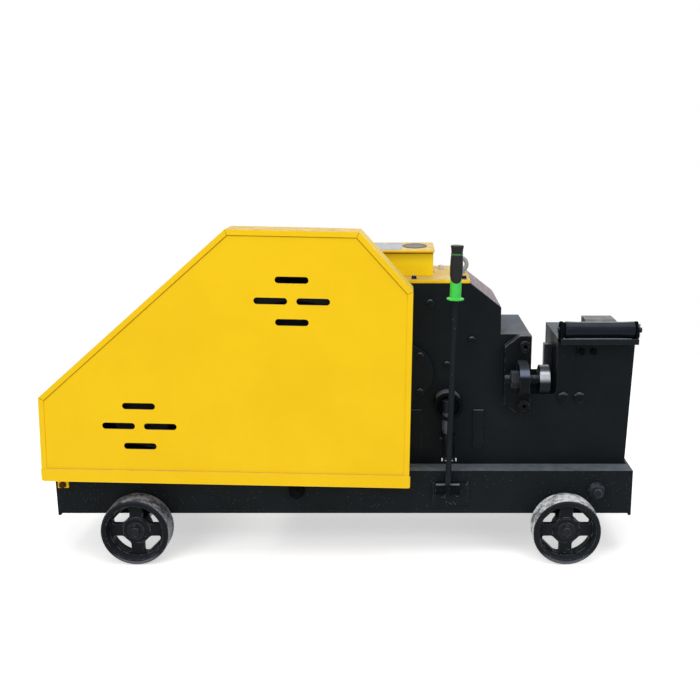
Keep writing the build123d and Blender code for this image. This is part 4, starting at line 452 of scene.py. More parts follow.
slot_finishes = {
    "yellow_paint": yellow, "black_paint": black, "black_cast_iron": cast_black, "wheel_iron": wheel_iron,
    "dark_fastener": dark_fastener, "machined_steel": milled, "bright_steel": bright,
    "blade_steel": blade_steel, "grey_iron": grey_iron, "bush_bronze": bronze, "roller_finish": roller_black,
    "motor_paint": motor_grey, "fan_plastic": fan_plastic, "belt_rubber": belt_rubber,
    "green_plastic": green, "black_rubber": grip_rubber,
}
slots = {row["node"]: row["material_slot"] for row in frame["record"]["subparts"]}
for node, slot in slots.items():
    nodes[node].data.materials.clear()
    nodes[node].data.materials.append(slot_finishes[slot])


# Meshes that pieces are made from, each with its finish: given in millimetres, made in metres

def linked(name, data):
    holder = bpy.data.objects.new(name, data)
    scene.collection.objects.link(holder)
    return holder


def settled(holder):
    """Plain mesh of an object with its modifiers applied. The object itself goes."""
    bpy.context.view_layer.update()
    graph = bpy.context.evaluated_depsgraph_get()
    mesh = bpy.data.meshes.new_from_object(holder.evaluated_get(graph))
    bpy.data.objects.remove(holder)
    return mesh


def baked(build, name):
    """Turn a bmesh into a mesh and free it."""
    mesh = bpy.data.meshes.new(name)
    build.to_mesh(mesh)
    build.free()
    return mesh


def placed(mesh, matrix):
    mesh.transform(matrix)
    return mesh


def facing(direction, at):
    """Matrix that turns +Z to a direction and moves the origin to a point."""
    turn = Vector(direction).to_track_quat("Z", "Y").to_matrix().to_4x4()
    return Matrix.Translation(Vector(at) * MM) @ turn


def upright(y, x=0.0, z=0.0):
    """Matrix that stands a flat drawing up so that it faces the front at depth y."""
    return Matrix.Translation(Vector((x, y, z)) * MM) @ Matrix.Rotation(pi / 2, 4, "X")


def circle(radius, steps=48, start=0.0):
    """Points round a circle, or a polygon when there are few steps."""
    turns = [start + 2 * pi * k / steps for k in range(steps)]
    return [(radius * cos(turn), radius * sin(turn)) for turn in turns]


def walled(build, rings, closed=False):
    """Join rings of points with faces. A ring of one point is a pole."""
    steps = max(len(ring) for ring in rings)
    for lower, upper in zip(rings, rings[1:] + rings[:1] if closed else rings[1:]):
        for step in range(steps):
            after = (step + 1) % steps
            corners = [lower[step % len(lower)], lower[after % len(lower)]]
            corners += [upper[after % len(upper)], upper[step % len(upper)]]
            corners = list(dict.fromkeys(corners))
            if len(corners) > 2:
                build.faces.new(corners)


def lathe(profile, direction, at, used, steps=56):
    """Turned mesh from radius and height pairs. A profile that ends off the axis closes on its start."""
    build = bmesh.new()
    rings = []
    for radius, height in profile:
        points = circle(radius, steps) if radius > 0 else [(0.0, 0.0)]
        rings.append([build.verts.new(Vector((x, y, height)) * MM) for x, y in points])
    walled(build, rings, closed=profile[-1][0] > 0)
    bmesh.ops.recalc_face_normals(build, faces=build.faces)
    return placed(baked(build, "turned"), facing(direction, at)), used


def curve_mesh(kind, lines, cyclic, **settings):
    """Plain mesh of a curve that runs through lines of points."""
    curve = bpy.data.curves.new("line", "CURVE")
    for key, value in settings.items():
        setattr(curve, key, value)
    for line in lines:
        spline = curve.splines.new(kind)
        spline.points.add(len(line) - 1)
        for point, place in zip(spline.points, line):
            point.co = (*(Vector(place).to_3d() * MM), 1.0)
        spline.order_u = 3
        spline.use_cyclic_u = cyclic
        spline.use_endpoint_u = not cyclic
    return settled(linked("line", curve))


def plate(outlines, thick, edge, matrix, used):
    """Flat plate with rounded edges from closed outlines, the inner ones as holes. Its middle is at 0."""
    build = bmesh.new()
    build.from_mesh(curve_mesh(
        "POLY", outlines, True, dimensions="2D", fill_mode="BOTH", extrude=(thick / 2 - edge) * MM,
        bevel_depth=edge * MM, bevel_resolution=1, offset=-edge * MM))
    bmesh.ops.remove_doubles(build, verts=build.verts, dist=1e-6)
    bmesh.ops.recalc_face_normals(build, faces=build.faces)
    return placed(baked(build, "plate"), matrix), used


def wire(points, radius, used, cyclic=False):
    """Round wire along points."""
    return curve_mesh("NURBS", [points], cyclic, dimensions="3D", bevel_depth=radius * MM, bevel_resolution=3,
                      use_fill_caps=not cyclic, resolution_u=6), used


def block(low, high, edge, used, matrix=Matrix()):
    """Box between two corners, with rounded edges."""
    build = bmesh.new()
    bmesh.ops.create_cube(build, size=1.0)
    size = Vector(high) - Vector(low)
    middle = (Vector(high) + Vector(low)) / 2
    build.transform(Matrix.Translation(middle * MM) @ Matrix.Diagonal((*(size * MM), 1.0)))
    bmesh.ops.bevel(build, geom=build.edges[:], offset=edge * MM, segments=2, profile=0.5, affect="EDGES")
    return placed(baked(build, "block"), matrix), used


def joined_cad(node):
    """A CAD node's mesh with its loose triangles joined up."""
    build = bmesh.new()
    build.from_mesh(nodes[node].data)
    build.transform(nodes[node].matrix_world)
    bmesh.ops.remove_doubles(build, verts=build.verts, dist=2e-6)
    return build


def islands(node):
    """Lowest and highest corner of each separate solid in a CAD node."""
    build = joined_cad(node)
    left = set(build.verts)
    found = []
    while left:
        front = [left.pop()]
        group = []
        while front:
            vert = front.pop()
            group.append(vert.co / MM)
            near = {edge.other_vert(vert) for edge in vert.link_edges} & left
            left -= near
            front += near
        found.append([Vector(map(side, zip(*group))) for side in (min, max)])
    build.free()
    return sorted(found, key=lambda pair: tuple(pair[0]))


# Pieces: each stands for one CAD node

homes = {node: name for name, empty in frame["bodies"].items()
         for node in nodes if nodes[node].parent == empty}


def piece(node, parts, crease=35.0):
    """Finish a node's piece from placed meshes, each with a finish or a list that its faces pick from."""
    name = node + "_finished"
    build = bmesh.new()
    finishes = []
    for part, used in parts:
        own = used if isinstance(used, list) else [used]
        finishes.extend(one for one in own if one not in finishes)
        first = len(build.faces)
        build.from_mesh(part)
        build.faces.ensure_lookup_table()
        for face in build.faces[first:]:
            face.material_index = finishes.index(own[min(face.material_index, len(own) - 1)])
            face.smooth = True
    mesh = baked(build, name)
    for used in finishes:
        mesh.materials.append(used)
    mesh.set_sharp_from_angle(angle=radians(crease))
    holder = linked(name + "_draft", mesh)
    holder.modifiers.new("flat faces", "WEIGHTED_NORMAL").keep_sharp = True
    made = linked(name, settled(holder))
    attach(made, homes[node])
    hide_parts(node)


def rounded(node, edge):
    """Copy of a CAD node's mesh with its sharp edges rounded."""
    build = joined_cad(node)
    bmesh.ops.dissolve_limit(build, angle_limit=radians(0.4), verts=build.verts, edges=build.edges)
    holder = linked(node + "_copy", baked(build, node))
    bevel = holder.modifiers.new("edges", "BEVEL")
    bevel.width = edge * MM
    bevel.segments = 2
    bevel.limit_method = "ANGLE"
    bevel.angle_limit = radians(30.0)
    return settled(holder)


def dress(node, edge, extra=(), used=None):
    """Stand a rounded copy, with any extra meshes, in for a CAD node."""
    piece(node, [(rounded(node, edge), used or slot_finishes[slots[node]]), *extra])


def dress_by_face(node, edge, pick, extra=()):
    """Stand a rounded copy in for a CAD node, each face with the finish picked by its place and normal."""
    mesh = rounded(node, edge)
    picks = [pick(face.center / MM, face.normal) for face in mesh.polygons]
    used = list(dict.fromkeys(picks))
    for face, picked in zip(mesh.polygons, picks):
        face.material_index = used.index(picked)
    piece(node, [(mesh, used), *extra])


# Geometry Nodes: what repeats or follows a path

def geometry_tree(name, **inputs):
    """Make a Geometry Nodes tree out of the function under it. A mesh, a finish and a seed are inputs too."""
    def build(draw):
        tree = bpy.data.node_groups.new(name, "GeometryNodeTree")
        sides = [("Geometry", "INPUT", "NodeSocketGeometry"), ("Geometry", "OUTPUT", "NodeSocketGeometry"),
                 ("Finish", "INPUT", "NodeSocketMaterial"), ("Seed", "INPUT", "NodeSocketInt")]
        for title, side, kind in sides:
            tree.interface.new_socket(name=title, in_out=side, socket_type=kind)
        number_inputs(tree, inputs)
        given = tree.nodes.new("NodeGroupInput").outputs
        leave = tree.nodes.new("NodeGroupOutput").inputs
        real = put(tree, "GeometryNodeRealizeInstances", {0: draw(tree, given)})
        smooth = put(tree, "GeometryNodeSetShadeSmooth", {0: real})
        done = put(tree, "GeometryNodeSetMaterial", {"Geometry": smooth, "Material": given["Finish"]})
        tree.links.new(done, leave[0])
        return tree
    return build


def raised(shape, height):
    """Move a shape up its own axis."""
    lift = put(shape.id_data, "ShaderNodeCombineXYZ", {2: height})
    return put(shape.id_data, "GeometryNodeTransform", {"Geometry": shape, "Translation": lift})


def drum(sides, radius, depth):
    """Round or many-sided drum about the origin."""
    sockets = {"Vertices": sides, "Radius": radius, "Depth": depth}
    return put(radius.id_data, "GeometryNodeMeshCylinder", sockets)


@geometry_tree("Hexagon heads", flats=0.017, head=0.008, washer=0.001, washer_radius=0.009)
def hexagons(tree, given):
    """Chamfered hexagon heads on washers, one at each point, turned at random about their own axis."""
    flats, head, washer = given["Flats"], given["Head"], given["Washer"]
    prism = drum(6, times(flats, 1 / sqrt(3)), times(head, 1.4))
    crown = times(flats, 0.38)
    skirt = plus(crown, times(head, 1.9))
    cone = put(tree, "GeometryNodeMeshCone", {
        "Vertices": 40, "Radius Top": crown, "Radius Bottom": skirt, "Depth": head})
    both = put(tree, "GeometryNodeMeshBoolean", {1: [raised(prism, times(head, 0.5)), cone]},
               operation="INTERSECT", solver="EXACT")
    ring = raised(drum(40, given["Washer Radius"], washer), times(washer, 0.5))
    bolt = put(tree, "GeometryNodeJoinGeometry", {0: [raised(both, washer), ring]})
    aim = put(tree, "GeometryNodeInputNamedAttribute", {"Name": "facing"}, data_type="FLOAT_VECTOR")
    turn = put(tree, "FunctionNodeAlignRotationToVector", {"Vector": aim}, axis="Z")
    draw = {"Seed": given["Seed"], 2: 0.0, 3: 6.28}
    spin = put(tree, "FunctionNodeRandomValue", draw, 1, data_type="FLOAT")
    about = put(tree, "FunctionNodeAxisAngleToRotation", {"Axis": UP, "Angle": spin})
    spun = put(tree, "FunctionNodeRotateRotation", {0: turn, 1: about}, rotation_space="LOCAL")
    return put(tree, "GeometryNodeInstanceOnPoints", {
        "Points": given["Geometry"], "Instance": bolt, "Rotation": spun})


@geometry_tree("Weld run", step=0.003, width=0.004)
def weld_run(tree, given):
    """A run of overlapping weld drops along a path."""
    path = put(tree, "GeometryNodeMeshToCurve", {0: given["Geometry"]})
    points = put(tree, "GeometryNodeResampleCurve", {"Curve": path, "Length": given["Step"]}, mode="LENGTH")
    tangent = put(tree, "GeometryNodeInputTangent")
    turn = put(tree, "FunctionNodeAlignRotationToVector", {"Vector": tangent}, axis="X")
    drop = put(tree, "GeometryNodeMeshIcoSphere", {"Radius": given["Width"], "Subdivisions": 2})
    draw = {"Seed": given["Seed"], 0: (0.5, 0.85, 0.8), 1: (0.75, 1.1, 1.1)}
    size = put(tree, "FunctionNodeRandomValue", draw, data_type="FLOAT_VECTOR")
    return put(tree, "GeometryNodeInstanceOnPoints", {
        "Points": points, "Instance": drop, "Rotation": turn, "Scale": size})


@geometry_tree("Screw thread", radius=0.01, pitch=0.0025, length=0.02)
def screw_thread(tree, given):
    """A screw thread: a pointed ridge wound up a length."""
    turns = calc("DIVIDE", given["Length"], given["Pitch"])
    half_pitch = times(given["Pitch"], 0.5)
    core = calc("SUBTRACT", given["Radius"], half_pitch)
    coil = put(tree, "GeometryNodeCurveSpiral", {
        "Resolution": 28, "Rotations": turns, "Start Radius": core, "End Radius": core,
        "Height": given["Length"]})
    ridge = put(tree, "GeometryNodeCurvePrimitiveCircle", {"Resolution": 4, "Radius": half_pitch})
    return put(tree, "GeometryNodeCurveToMesh", {"Curve": coil, "Profile Curve": ridge, "Fill Caps": True})


# Thickness of a washer, and its radius as a share of the head's flats
SLIM_WASHER = (0.8, 0.52)
WIDE_WASHER = (1.2, 0.62)


def grown(tree, mesh, used, **values):
    """Plain mesh grown by a tree over a mesh. Sizes are given in millimetres."""
    holder = linked("grown", mesh)
    maker = holder.modifiers.new("grown", "NODES")
    maker.node_group = tree
    given = {"Finish": used, "Seed": 7}
    given.update({label(key): value * MM for key, value in values.items()})
    for item in tree.interface.items_tree:
        if item.in_out == "INPUT" and item.name in given:
            maker[item.identifier] = given[item.name]
    return settled(holder)


def drawn(points, edges=()):
    """Bare mesh of points and edges for a tree to grow on."""
    mesh = bpy.data.meshes.new("drawn")
    mesh.from_pydata([Vector(point) * MM for point in points], edges, [])
    return mesh


def heads(spots, used, flats, head, washer=SLIM_WASHER):
    """Hexagon heads at spots, each a point and a direction, on washers."""
    mesh = drawn([place for place, _ in spots])
    aim = mesh.attributes.new("facing", "FLOAT_VECTOR", "POINT")
    for entry, (_, direction) in zip(aim.data, spots):
        entry.vector = direction
    thick, share = washer
    sizes = {"flats": flats, "head": head - thick, "washer": thick, "washer_radius": flats * share}
    return grown(hexagons, mesh, used, **sizes), used


def weld(points, used, width=2.6):
    """Weld run along points."""
    mesh = drawn(points, [(k, k + 1) for k in range(len(points) - 1)])
    return grown(weld_run, mesh, used, step=width * 0.75, width=width), used


def thread(radius, pitch, length, direction, at, used):
    """Screw thread from a point along a direction."""
    mesh = grown(screw_thread, drawn([]), used, radius=radius, pitch=pitch, length=length)
    return placed(mesh, facing(direction, at)), used


# Chassis

for node, edge in (("channel_front", 1.6), ("channel_rear", 1.6), ("end_plates", 1), ("motor_plate", 1)):
    dress(node, edge)
hanger_welds = []
for low, high in islands("axle_hangers"):
    for y in (low.y + 1, high.y - 1):
        hanger_welds.append(weld([(low.x + 6, y, high.z), (high.x - 6, y, high.z)], black))
dress("axle_hangers", 1, hanger_welds)


# Wheels: turned rim and hub, spoked web with rounded windows, worn tread

WINDOW_INNER = 32
WINDOW_DEPTH = 23.5
HALF_SPOKE = 14
WEB_THICK = 16
WEB_SET_BACK = 28
RIM = [(59.4, 20), (61.2, 3), (62.6, 0.6), (64.6, 0), (69, 0), (72.2, 1.4), (74.2, 4.6),
       (WHEEL_RADIUS, 9.5), (WHEEL_RADIUS, 52.8), (73.6, 55.2), (71, 56), (64, 55.8), (61.6, 54.4),
       (59.4, 36)]
HUB = [(10.2, 16), (24.8, 16), (27, 16.7), (28, 18.2), (28.6, 19.2), (30.4, 20.6), (30.4, 35.4),
       (28.6, 37), (28, 39), (28, 57.4), (26.8, 59), (25, 59.6), (10.2, 59.6)]


def soft_square(corner=0.2, steps=6):
    """Points round a square from 0 to 1 with rounded corners."""
    points = []
    for quarter, (side, up) in enumerate(((1, 1), (-1, 1), (-1, -1), (1, -1))):
        for step in range(steps + 1):
            turn = pi / 2 * (quarter + step / steps)
            reach = 0.5 - corner
            points.append((0.5 + side * reach + corner * cos(turn), 0.5 + up * reach + corner * sin(turn)))
    return points


def wheel_window(quarter):
    """Outline of one window between two spokes."""
    points = []
    for across, along in soft_square():
        radius = WINDOW_INNER + WINDOW_DEPTH * across
        lean = asin(HALF_SPOKE / radius)
        angle = lean + (pi / 2 - 2 * lean) * along + quarter * pi / 2
        points.append((radius * cos(angle), radius * sin(angle)))
    return points


SPOKE_WEB = [circle(60.6, 72), *(wheel_window(quarter) for quarter in range(4)), circle(20, 32)]
for row, hand in (("front", -1), ("rear", 1)):
    for end, x in AXLES.items():
        face_middle = (x, hand * WHEEL_FACE, WHEEL_RADIUS)
        web_place = upright(hand * (WHEEL_FACE - WEB_SET_BACK), x, WHEEL_RADIUS)
        piece("wheel_" + row + "_" + end, [
            lathe(RIM, (0, -hand, 0), face_middle, wheel_iron, 84),
            lathe(HUB, (0, -hand, 0), face_middle, wheel_iron),
            plate(SPOKE_WEB, WEB_THICK, 1.8, web_place, wheel_iron)])

AXLE_BARE = 200
AXLE_TIP = [(0, 0), (10, 0), (10, 28.8), (8.6, 30.2), (0, 30.2)]
AXLE_ROD = [(0, 0), (10, 0), (10, 2 * AXLE_BARE), (0, 2 * AXLE_BARE)]
AXLE_WASHER = [(10.2, 0), (19, 0), (20, 0.8), (20, 2.2), (19, 3), (10.2, 3)]
SPLIT_PIN = [(1.3, -14), (1.3, 11), (3.2, 14.5), (0, 17.5), (-3.2, 14.5), (-1.3, 11), (-1.3, -14),
             (-4.2, -17)]
axle_parts = []
washer_parts = []
for x in AXLES.values():
    for hand in (-1, 1):
        outward = (0, hand, 0)
        pin = [(x + aside, hand * 226.5, WHEEL_RADIUS + up) for aside, up in SPLIT_PIN]
        axle_parts.append(lathe(AXLE_TIP, outward, (x, hand * AXLE_BARE, WHEEL_RADIUS), dark_fastener))
        axle_parts.append(wire(pin, 1.2, dark_fastener))
        washer_parts.append(lathe(AXLE_WASHER, outward, (x, hand * 219.3, WHEEL_RADIUS), dark_fastener))
    axle_parts.append(lathe(AXLE_ROD, BACK, (x, -AXLE_BARE, WHEEL_RADIUS), milled))
piece("axles", axle_parts)
piece("axle_washers", washer_parts)


# Belt guard

HOOD_LEAN = radians(1.2)
HOOD_FOOT_X = 146
HOOD_FOOT_Z = 177
HOOD_OUTLINE = [(0, 427), (-113, 548), (-388, 548), (-792.6, 184)]
HOOD_LEFT = -796
RIM_WIDTH = 11.8
RAIL_TOP = 25


def on_hood(along, up, y):
    """Point on the leaning guard, from its right foot."""
    return Vector((HOOD_FOOT_X + along * cos(HOOD_LEAN) + up * sin(HOOD_LEAN), y,
                   HOOD_FOOT_Z - along * sin(HOOD_LEAN) + up * cos(HOOD_LEAN)))


def drawn_in(before, corner, after, inset):
    """A corner of the guard's outline moved in by the same distance from both of its edges."""
    one = (Vector(corner) - Vector(before)).normalized()
    two = (Vector(after) - Vector(corner)).normalized()
    inward = Vector((-one.y - two.y, one.x + two.x)).normalized()
    return Vector(corner) + inward * inset / inward.dot(Vector((-one.y, one.x)))


def rim_finish(at, normal):
    """Black inside the guard, a lighter yellow as painted light on the slope that faces right, yellow
    elsewhere.
    """
    inward = Vector((-250, at.y, 420)) - at
    looks_in = normal.dot(inward) > 10 or normal.y < -0.9 and at.y > -160
    if looks_in and at.y > -217.5:
        return black
    return lit_yellow if normal.x > 0.5 and normal.z > 0.5 else yellow


around = [(0, 0), *HOOD_OUTLINE, (HOOD_LEFT, 0)]
inner = [drawn_in(*around[k:k + 3], RIM_WIDTH) for k in range(len(HOOD_OUTLINE))]
# Dark wires along the rim's inner edge stand for the flange's shadow on the panel: painted shadow. Short ones
# mark the corner joints.
seam_shadow_wires = [wire([on_hood(*point, -218.4) for point in pair], 1.1, seam_shade) for pair in zip(inner, inner[1:])]
for start, corner in zip(inner, HOOD_OUTLINE):
    stop = Vector(corner) * 0.92 + start * 0.08
    seam_shadow_wires.append(wire([on_hood(*start, -219.9), on_hood(*stop, -219.9)], 0.45, seam_shade))
dress_by_face("hood_rim", 0.7, rim_finish, seam_shadow_wires)
dress("hood_panel", 0.4)
dress("hood_brackets", 0.8)

quarter_turn = [(cos(pi / 12 * k), sin(pi / 12 * k)) for k in range(7)]
rail_front = [(-790 - 6 * side, 4 - 6 * down) for side, down in quarter_turn]
rail_front += [(-1 + 3 * down, 1 - 3 * side) for side, down in quarter_turn]
rail_front += [(2, RAIL_TOP), (HOOD_LEFT, RAIL_TOP)]
rail_leg = [(-790, -2), (-1, -2), (-1, 0), (-790, 0)]
rail_parts = []
for outline, thick, edge, y in ((rail_front, 2, 0.5, -221), (rail_leg, 18, 0.4, -211)):
    flat = [on_hood(*point, 0).xz for point in outline]
    rail_parts.append(plate([flat], thick, edge, upright(y), yellow))
# Two wires: a yellow bead along the rail's top, and a paler wire along its lower edge as painted highlight.
for up, y, radius, used in ((RAIL_TOP + 0.2, -219.8, 1.7, yellow), (-1.3, -221.3, 0.9, highlight_yellow)):
    rail_parts.append(wire([on_hood(along, up, y) for along in (-788, -400, -2)], radius, used))
piece("hood_rail", rail_parts)


# Cast body and what is bolted to it

def body_finish(at, normal):
    """Painted highlight on the pads' tops, dust over the roller's seat, shade in the cutting mouth and the
    ram's slot.
    """
    if normal.z > 0.3 and at.y < -122.2 and 320 < at.z < 330:
        return highlight_black
    if at.z > 486.5 and at.x > 550:
        return dusty_black
    in_shade = 350 < at.z < 366 and (at.x > 400 or normal.z > 0.5)
    return shaded_black if in_shade else cast_black


def stop_bracket_finish(at, normal):
    """Painted highlight on the cut corner, and a painted highlight band on the lug that carries the screw."""
    if normal.y < -0.3 and normal.z > 0.2 and at.z > 470:
        return highlight_black
    return stop_lug_highlight if at.y < -153.5 and abs(normal.x) < 0.5 else scuffed_black


def cap_finish(_, normal):
    """Shade round the rims of the bearing caps."""
    return cast_black if abs(normal.y) > 0.9 else shaded_black


def clutch_finish(at, normal):
    """Light only on the top of the clutch ring."""
    return cast_black if normal.z > 0.55 and at.z > 345 else shaded_black


slope = Matrix.Translation(Vector((313, 0, 581.5)) * MM) @ Matrix.Rotation(atan2(53, 68), 4, "Y")
slope_plate = block((-39, -117, -0.4), (39, 117, 0.9), 0.3, bare_plate, slope)
dress_by_face("gearbox_housing", 2.4, body_finish, [slope_plate])
for node, edge in (("gearbox_rear_cover", 1.6), ("top_cover", 1.2), ("fixed_blade", 0.5),
                   ("moving_blade", 0.5), ("ram", 1), ("motor_housing", 1), ("fan_cowl", 0.7)):
    dress(node, edge)
for node, edge in (("flywheel", 1.2), ("motor_pulley", 0.7)):
    dress(node, edge, used=cast_black)
dress_by_face("stop_bracket", 1.6, stop_bracket_finish)
dress_by_face("bearing_caps", 1.8, cap_finish)
dress_by_face("clutch_housing", 1.2, clutch_finish)

BADGE_X = 159.5
BADGE_Y = 29
LID_TOP = 672.5
oval = [(BADGE_X + 28 * x, BADGE_Y + 48 * y) for x, y in circle(1, 64)]
inner_oval = [(BADGE_X + 21 * x, BADGE_Y + 36 * y) for x, y in circle(1, 64)]
on_lid = Matrix.Translation((0, 0, LID_TOP * MM))
dress("switch_box_lid", 1.2, [
    block((58, -42, LID_TOP - 0.6), (131, 88, LID_TOP), 0.25, pale_plate),
    plate([oval, inner_oval], 1.4, 0.3, on_lid, badge_edge),
    plate([inner_oval], 1, 0.3, on_lid, badge_face)])
# The thin brown strip under the lid is part stain, part painted shadow.
dress("switch_box", 1.8, [block((59, -56.9, 664.2), (199, -55.6, 666.8), 0.3, stain_and_shadow_brown)], box_yellow)


def bolt_finish(at):
    """Rust on the guard's low bolts, shade under the roller's trough, dust and painted highlight on the
    others' tops.
    """
    if at.z < 180:
        return rusty_fastener
    return shaded_black if at.x > 480 and at.z > 440 else dust_and_highlight_fastener


bolt_seats = {}
for low, high in islands("body_bolts"):
    size = high - low
    middle = (low + high) / 2
    axis = list(size).index(min(size))
    on_top = axis == 2
    outward = on_top or middle[axis] > 0
    seat = middle.copy()
    seat[axis] = low[axis] if outward else high[axis]
    look = Vector((0, 0, 0))
    look[axis] = 1 if outward else -1
    kind = (round(sorted(size)[1]), round(size[axis], 1), on_top, bolt_finish(middle))
    bolt_seats.setdefault(kind, []).append((seat, look))
piece("body_bolts", [
    heads(seats, used, flats, head, WIDE_WASHER if on_top else SLIM_WASHER)
    for (flats, head, on_top, used), seats in bolt_seats.items()], crease=25)

STUD_WASHER = [(9, 0), (17.4, 0), (18.2, 0.7), (18.2, 2.3), (17.4, 3), (9, 3)]
STUD_END = [(9, 0), (9, 23.2), (8, 24), (0, 24)]
stud_parts = []
for low, high in islands("foot_studs"):
    middle = (low + high) / 2
    hand = -1 if middle.y < 0 else 1
    outward = (0, hand, 0)
    used = shaded_black if middle.x < 0 else dark_fastener
    web, nut_seat, thread_foot = [(middle.x, hand * (CHANNEL_FACE + off), middle.z) for off in (0, 3, 13)]
    stud_parts += [
        lathe(STUD_WASHER, outward, web, used), heads([(nut_seat, outward)], used, 30, 14),
        thread(9.8, 2, 10, outward, thread_foot, used), lathe(STUD_END, outward, web, used)]
piece("foot_studs", stud_parts, crease=25)

OIL_PLUG = [(0, 0), (10, 0), (10, 0.8), (9.2, 1.4), (7.2, 1.8), (7.2, 5.2), (6.4, 7.4), (4.6, 8.6), (0, 9)]
EYE_FOOT = [(0, 0), (13, 0), (13, 4.6), (11.6, 6), (8.6, 6.6), (7.2, 8.4), (0, 8.4)]
EYE_X = 262
eye_ring = [(15.25 + 4.75 * side, 6 * out) for side, out in circle(1, 20)]
piece("oil_plug", [lathe(OIL_PLUG, UP, (222, 76, COVER_TOP), fresh_zinc)])
piece("lifting_eye", [
    lathe(eye_ring, BACK, (EYE_X, 0, COVER_TOP + 19), zinc),
    lathe(EYE_FOOT, UP, (EYE_X, 0, COVER_TOP), zinc)])


# Clutch plunger, pull links, hand lever and grip

PLUNGER_FOOT = (232, -140, 276)
PLUNGER_GREY = [(0, 0), (10, 0), (10, 7), (12.5, 8), (12.5, 46), (11.9, 46.6), (0, 46.6)]
PLUNGER_DARK = [(0, 45), (11.9, 45), (11.9, 47.4), (12.5, 48), (12.5, 75), (11.3, 76), (0, 76)]
LINK_PIN = [(0, 0), (3.2, 0), (4, 0.8), (4, 33.2), (3.2, 34), (0, 34)]
piece("clutch_plunger", [
    lathe(PLUNGER_GREY, UP, PLUNGER_FOOT, plunger_grey),
    lathe(PLUNGER_DARK, UP, PLUNGER_FOOT, dark_fastener),
    block((227.5, -148, 254), (236.5, -132, 277), 1, dark_fastener),
    lathe(LINK_PIN, RIGHT, (215, -140, 262), dark_fastener)])
dress("pull_links", 1, used=shaded_black)

LEVER_LEAN = radians(1.57)
LEVER_UP = Vector((sin(LEVER_LEAN), 0, cos(LEVER_LEAN)))
LEVER_PIVOT = Vector((231.5, -190, 160))
CROSS_PIN = LEVER_PIVOT + LEVER_UP * 70
GRIP_FOOT = LEVER_PIVOT + LEVER_UP * 420
PIN_TIP = [(0, 10), (4.1, 10), (4.1, 16.3), (3.3, 17.1), (0, 17.1)]
PIN_MIDDLE = [(0, -10.2), (4, -10.2), (4, 10.2), (0, 10.2)]
FOOT_WELD = [(201, -175, 171), (201, -175, 121), (276, -175, 121), (276, -175, 171)]


def lever_foot_finish(at, normal):
    """Black base plate, painted highlight on the tops of the two lugs, shade between them."""
    on_lug = at.y < -181.5
    if normal.y < -0.9 and not on_lug:
        return black
    return highlight_black if on_lug and normal.z > 0.98 else shaded_black


# The cross pin's middle is in darker steel than its tips, so that only the tips glint: painted shade.
dress("lever", 0.8, [
    *(lathe(PIN_TIP, (side, 0, 0), CROSS_PIN, turned) for side in (-1, 1)),
    lathe(PIN_MIDDLE, RIGHT, CROSS_PIN, bright)], handled_black)
dress_by_face("lever_bracket", 0.8, lever_foot_finish, [weld(FOOT_WELD, black)])
dress("lever_pivot_pin", 0.8)

GRIP_CORE = [(6.6, 3), (16.2, 3), (17.8, 3.6), (18.6, 4.8), (18.6, 6), (18, 7), (16.4, 7.6),
             (13.4, 8), (12.3, 9), (12, 11), (12, 96.4), (6.6, 96.4)]
GRIP_RING = [(6.6, 96.2), (12, 96.2), (12, 97.6), (12.7, 98.2), (12.7, 100), (12.2, 100.8), (6.6, 100.8)]
GRIP_CAP = [(10.6, 100.3), (11.6, 100.3), (12, 101), (12.2, 106), (12.9, 111), (13.5, 114.6),
            (13.6, 116.2), (13, 117.3), (11.4, 117.8), (0, 117.2)]
SLEEVE_FOOT = 51
SLEEVE_TOP = 97.8
SLEEVE_RADIUS = 11.9
TONGUE = 12.5


def grip_tube(steps=56, rows=24):
    """Rubber sleeve that bulges a little, with a rounded tongue hanging at the front of its lower end."""
    build = bmesh.new()
    rings = []
    for row in range(rows + 1):
        share = row / rows
        edge = min(1, min(row, rows - row) / 2)
        radius = SLEEVE_RADIUS + 0.5 * edge**0.5 + 1.1 * edge * sin(pi * share**0.8) ** 0.7
        ring = []
        for side, out in circle(1, steps):
            foot = SLEEVE_FOOT - TONGUE * max(-0.25, -out)
            height = foot + (SLEEVE_TOP - foot) * share
            ring.append(build.verts.new(Vector((radius * side, radius * out, height)) * MM))
        rings.append(ring)
    walled(build, rings)
    turn = Matrix.Rotation(LEVER_LEAN, 4, "Y")
    return placed(baked(build, "sleeve"), Matrix.Translation(GRIP_FOOT * MM) @ turn)


piece("grip_core", [
    lathe(GRIP_CORE, LEVER_UP, GRIP_FOOT, green), lathe(GRIP_RING, LEVER_UP, GRIP_FOOT, shaded_green)])
piece("grip_sleeve", [(grip_tube(), grip_rubber), lathe(GRIP_CAP, LEVER_UP, GRIP_FOOT, grip_rubber)])


# Stop screw, its nut and the bracket's cap screws

STOP_HEAD = [(0, 0), (29, 0), (31.2, 0.6), (32, 2), (32, 21), (31.2, 22.4), (29, 23),
             (12, 23), (11, 22.2), (0, 22.2)]
STOP_SHANK = [(0, 0), (7.6, 0), (9, 1.4), (9, 72), (0, 72)]
CAP_SOCKET = [(0, 0), (7.5, 0), (7.5, 6), (0, 6)]
CAP_X = 397


def on_stop(x):
    """Point on the stop screw's axis."""
    return (x, -187, STOP_Z)


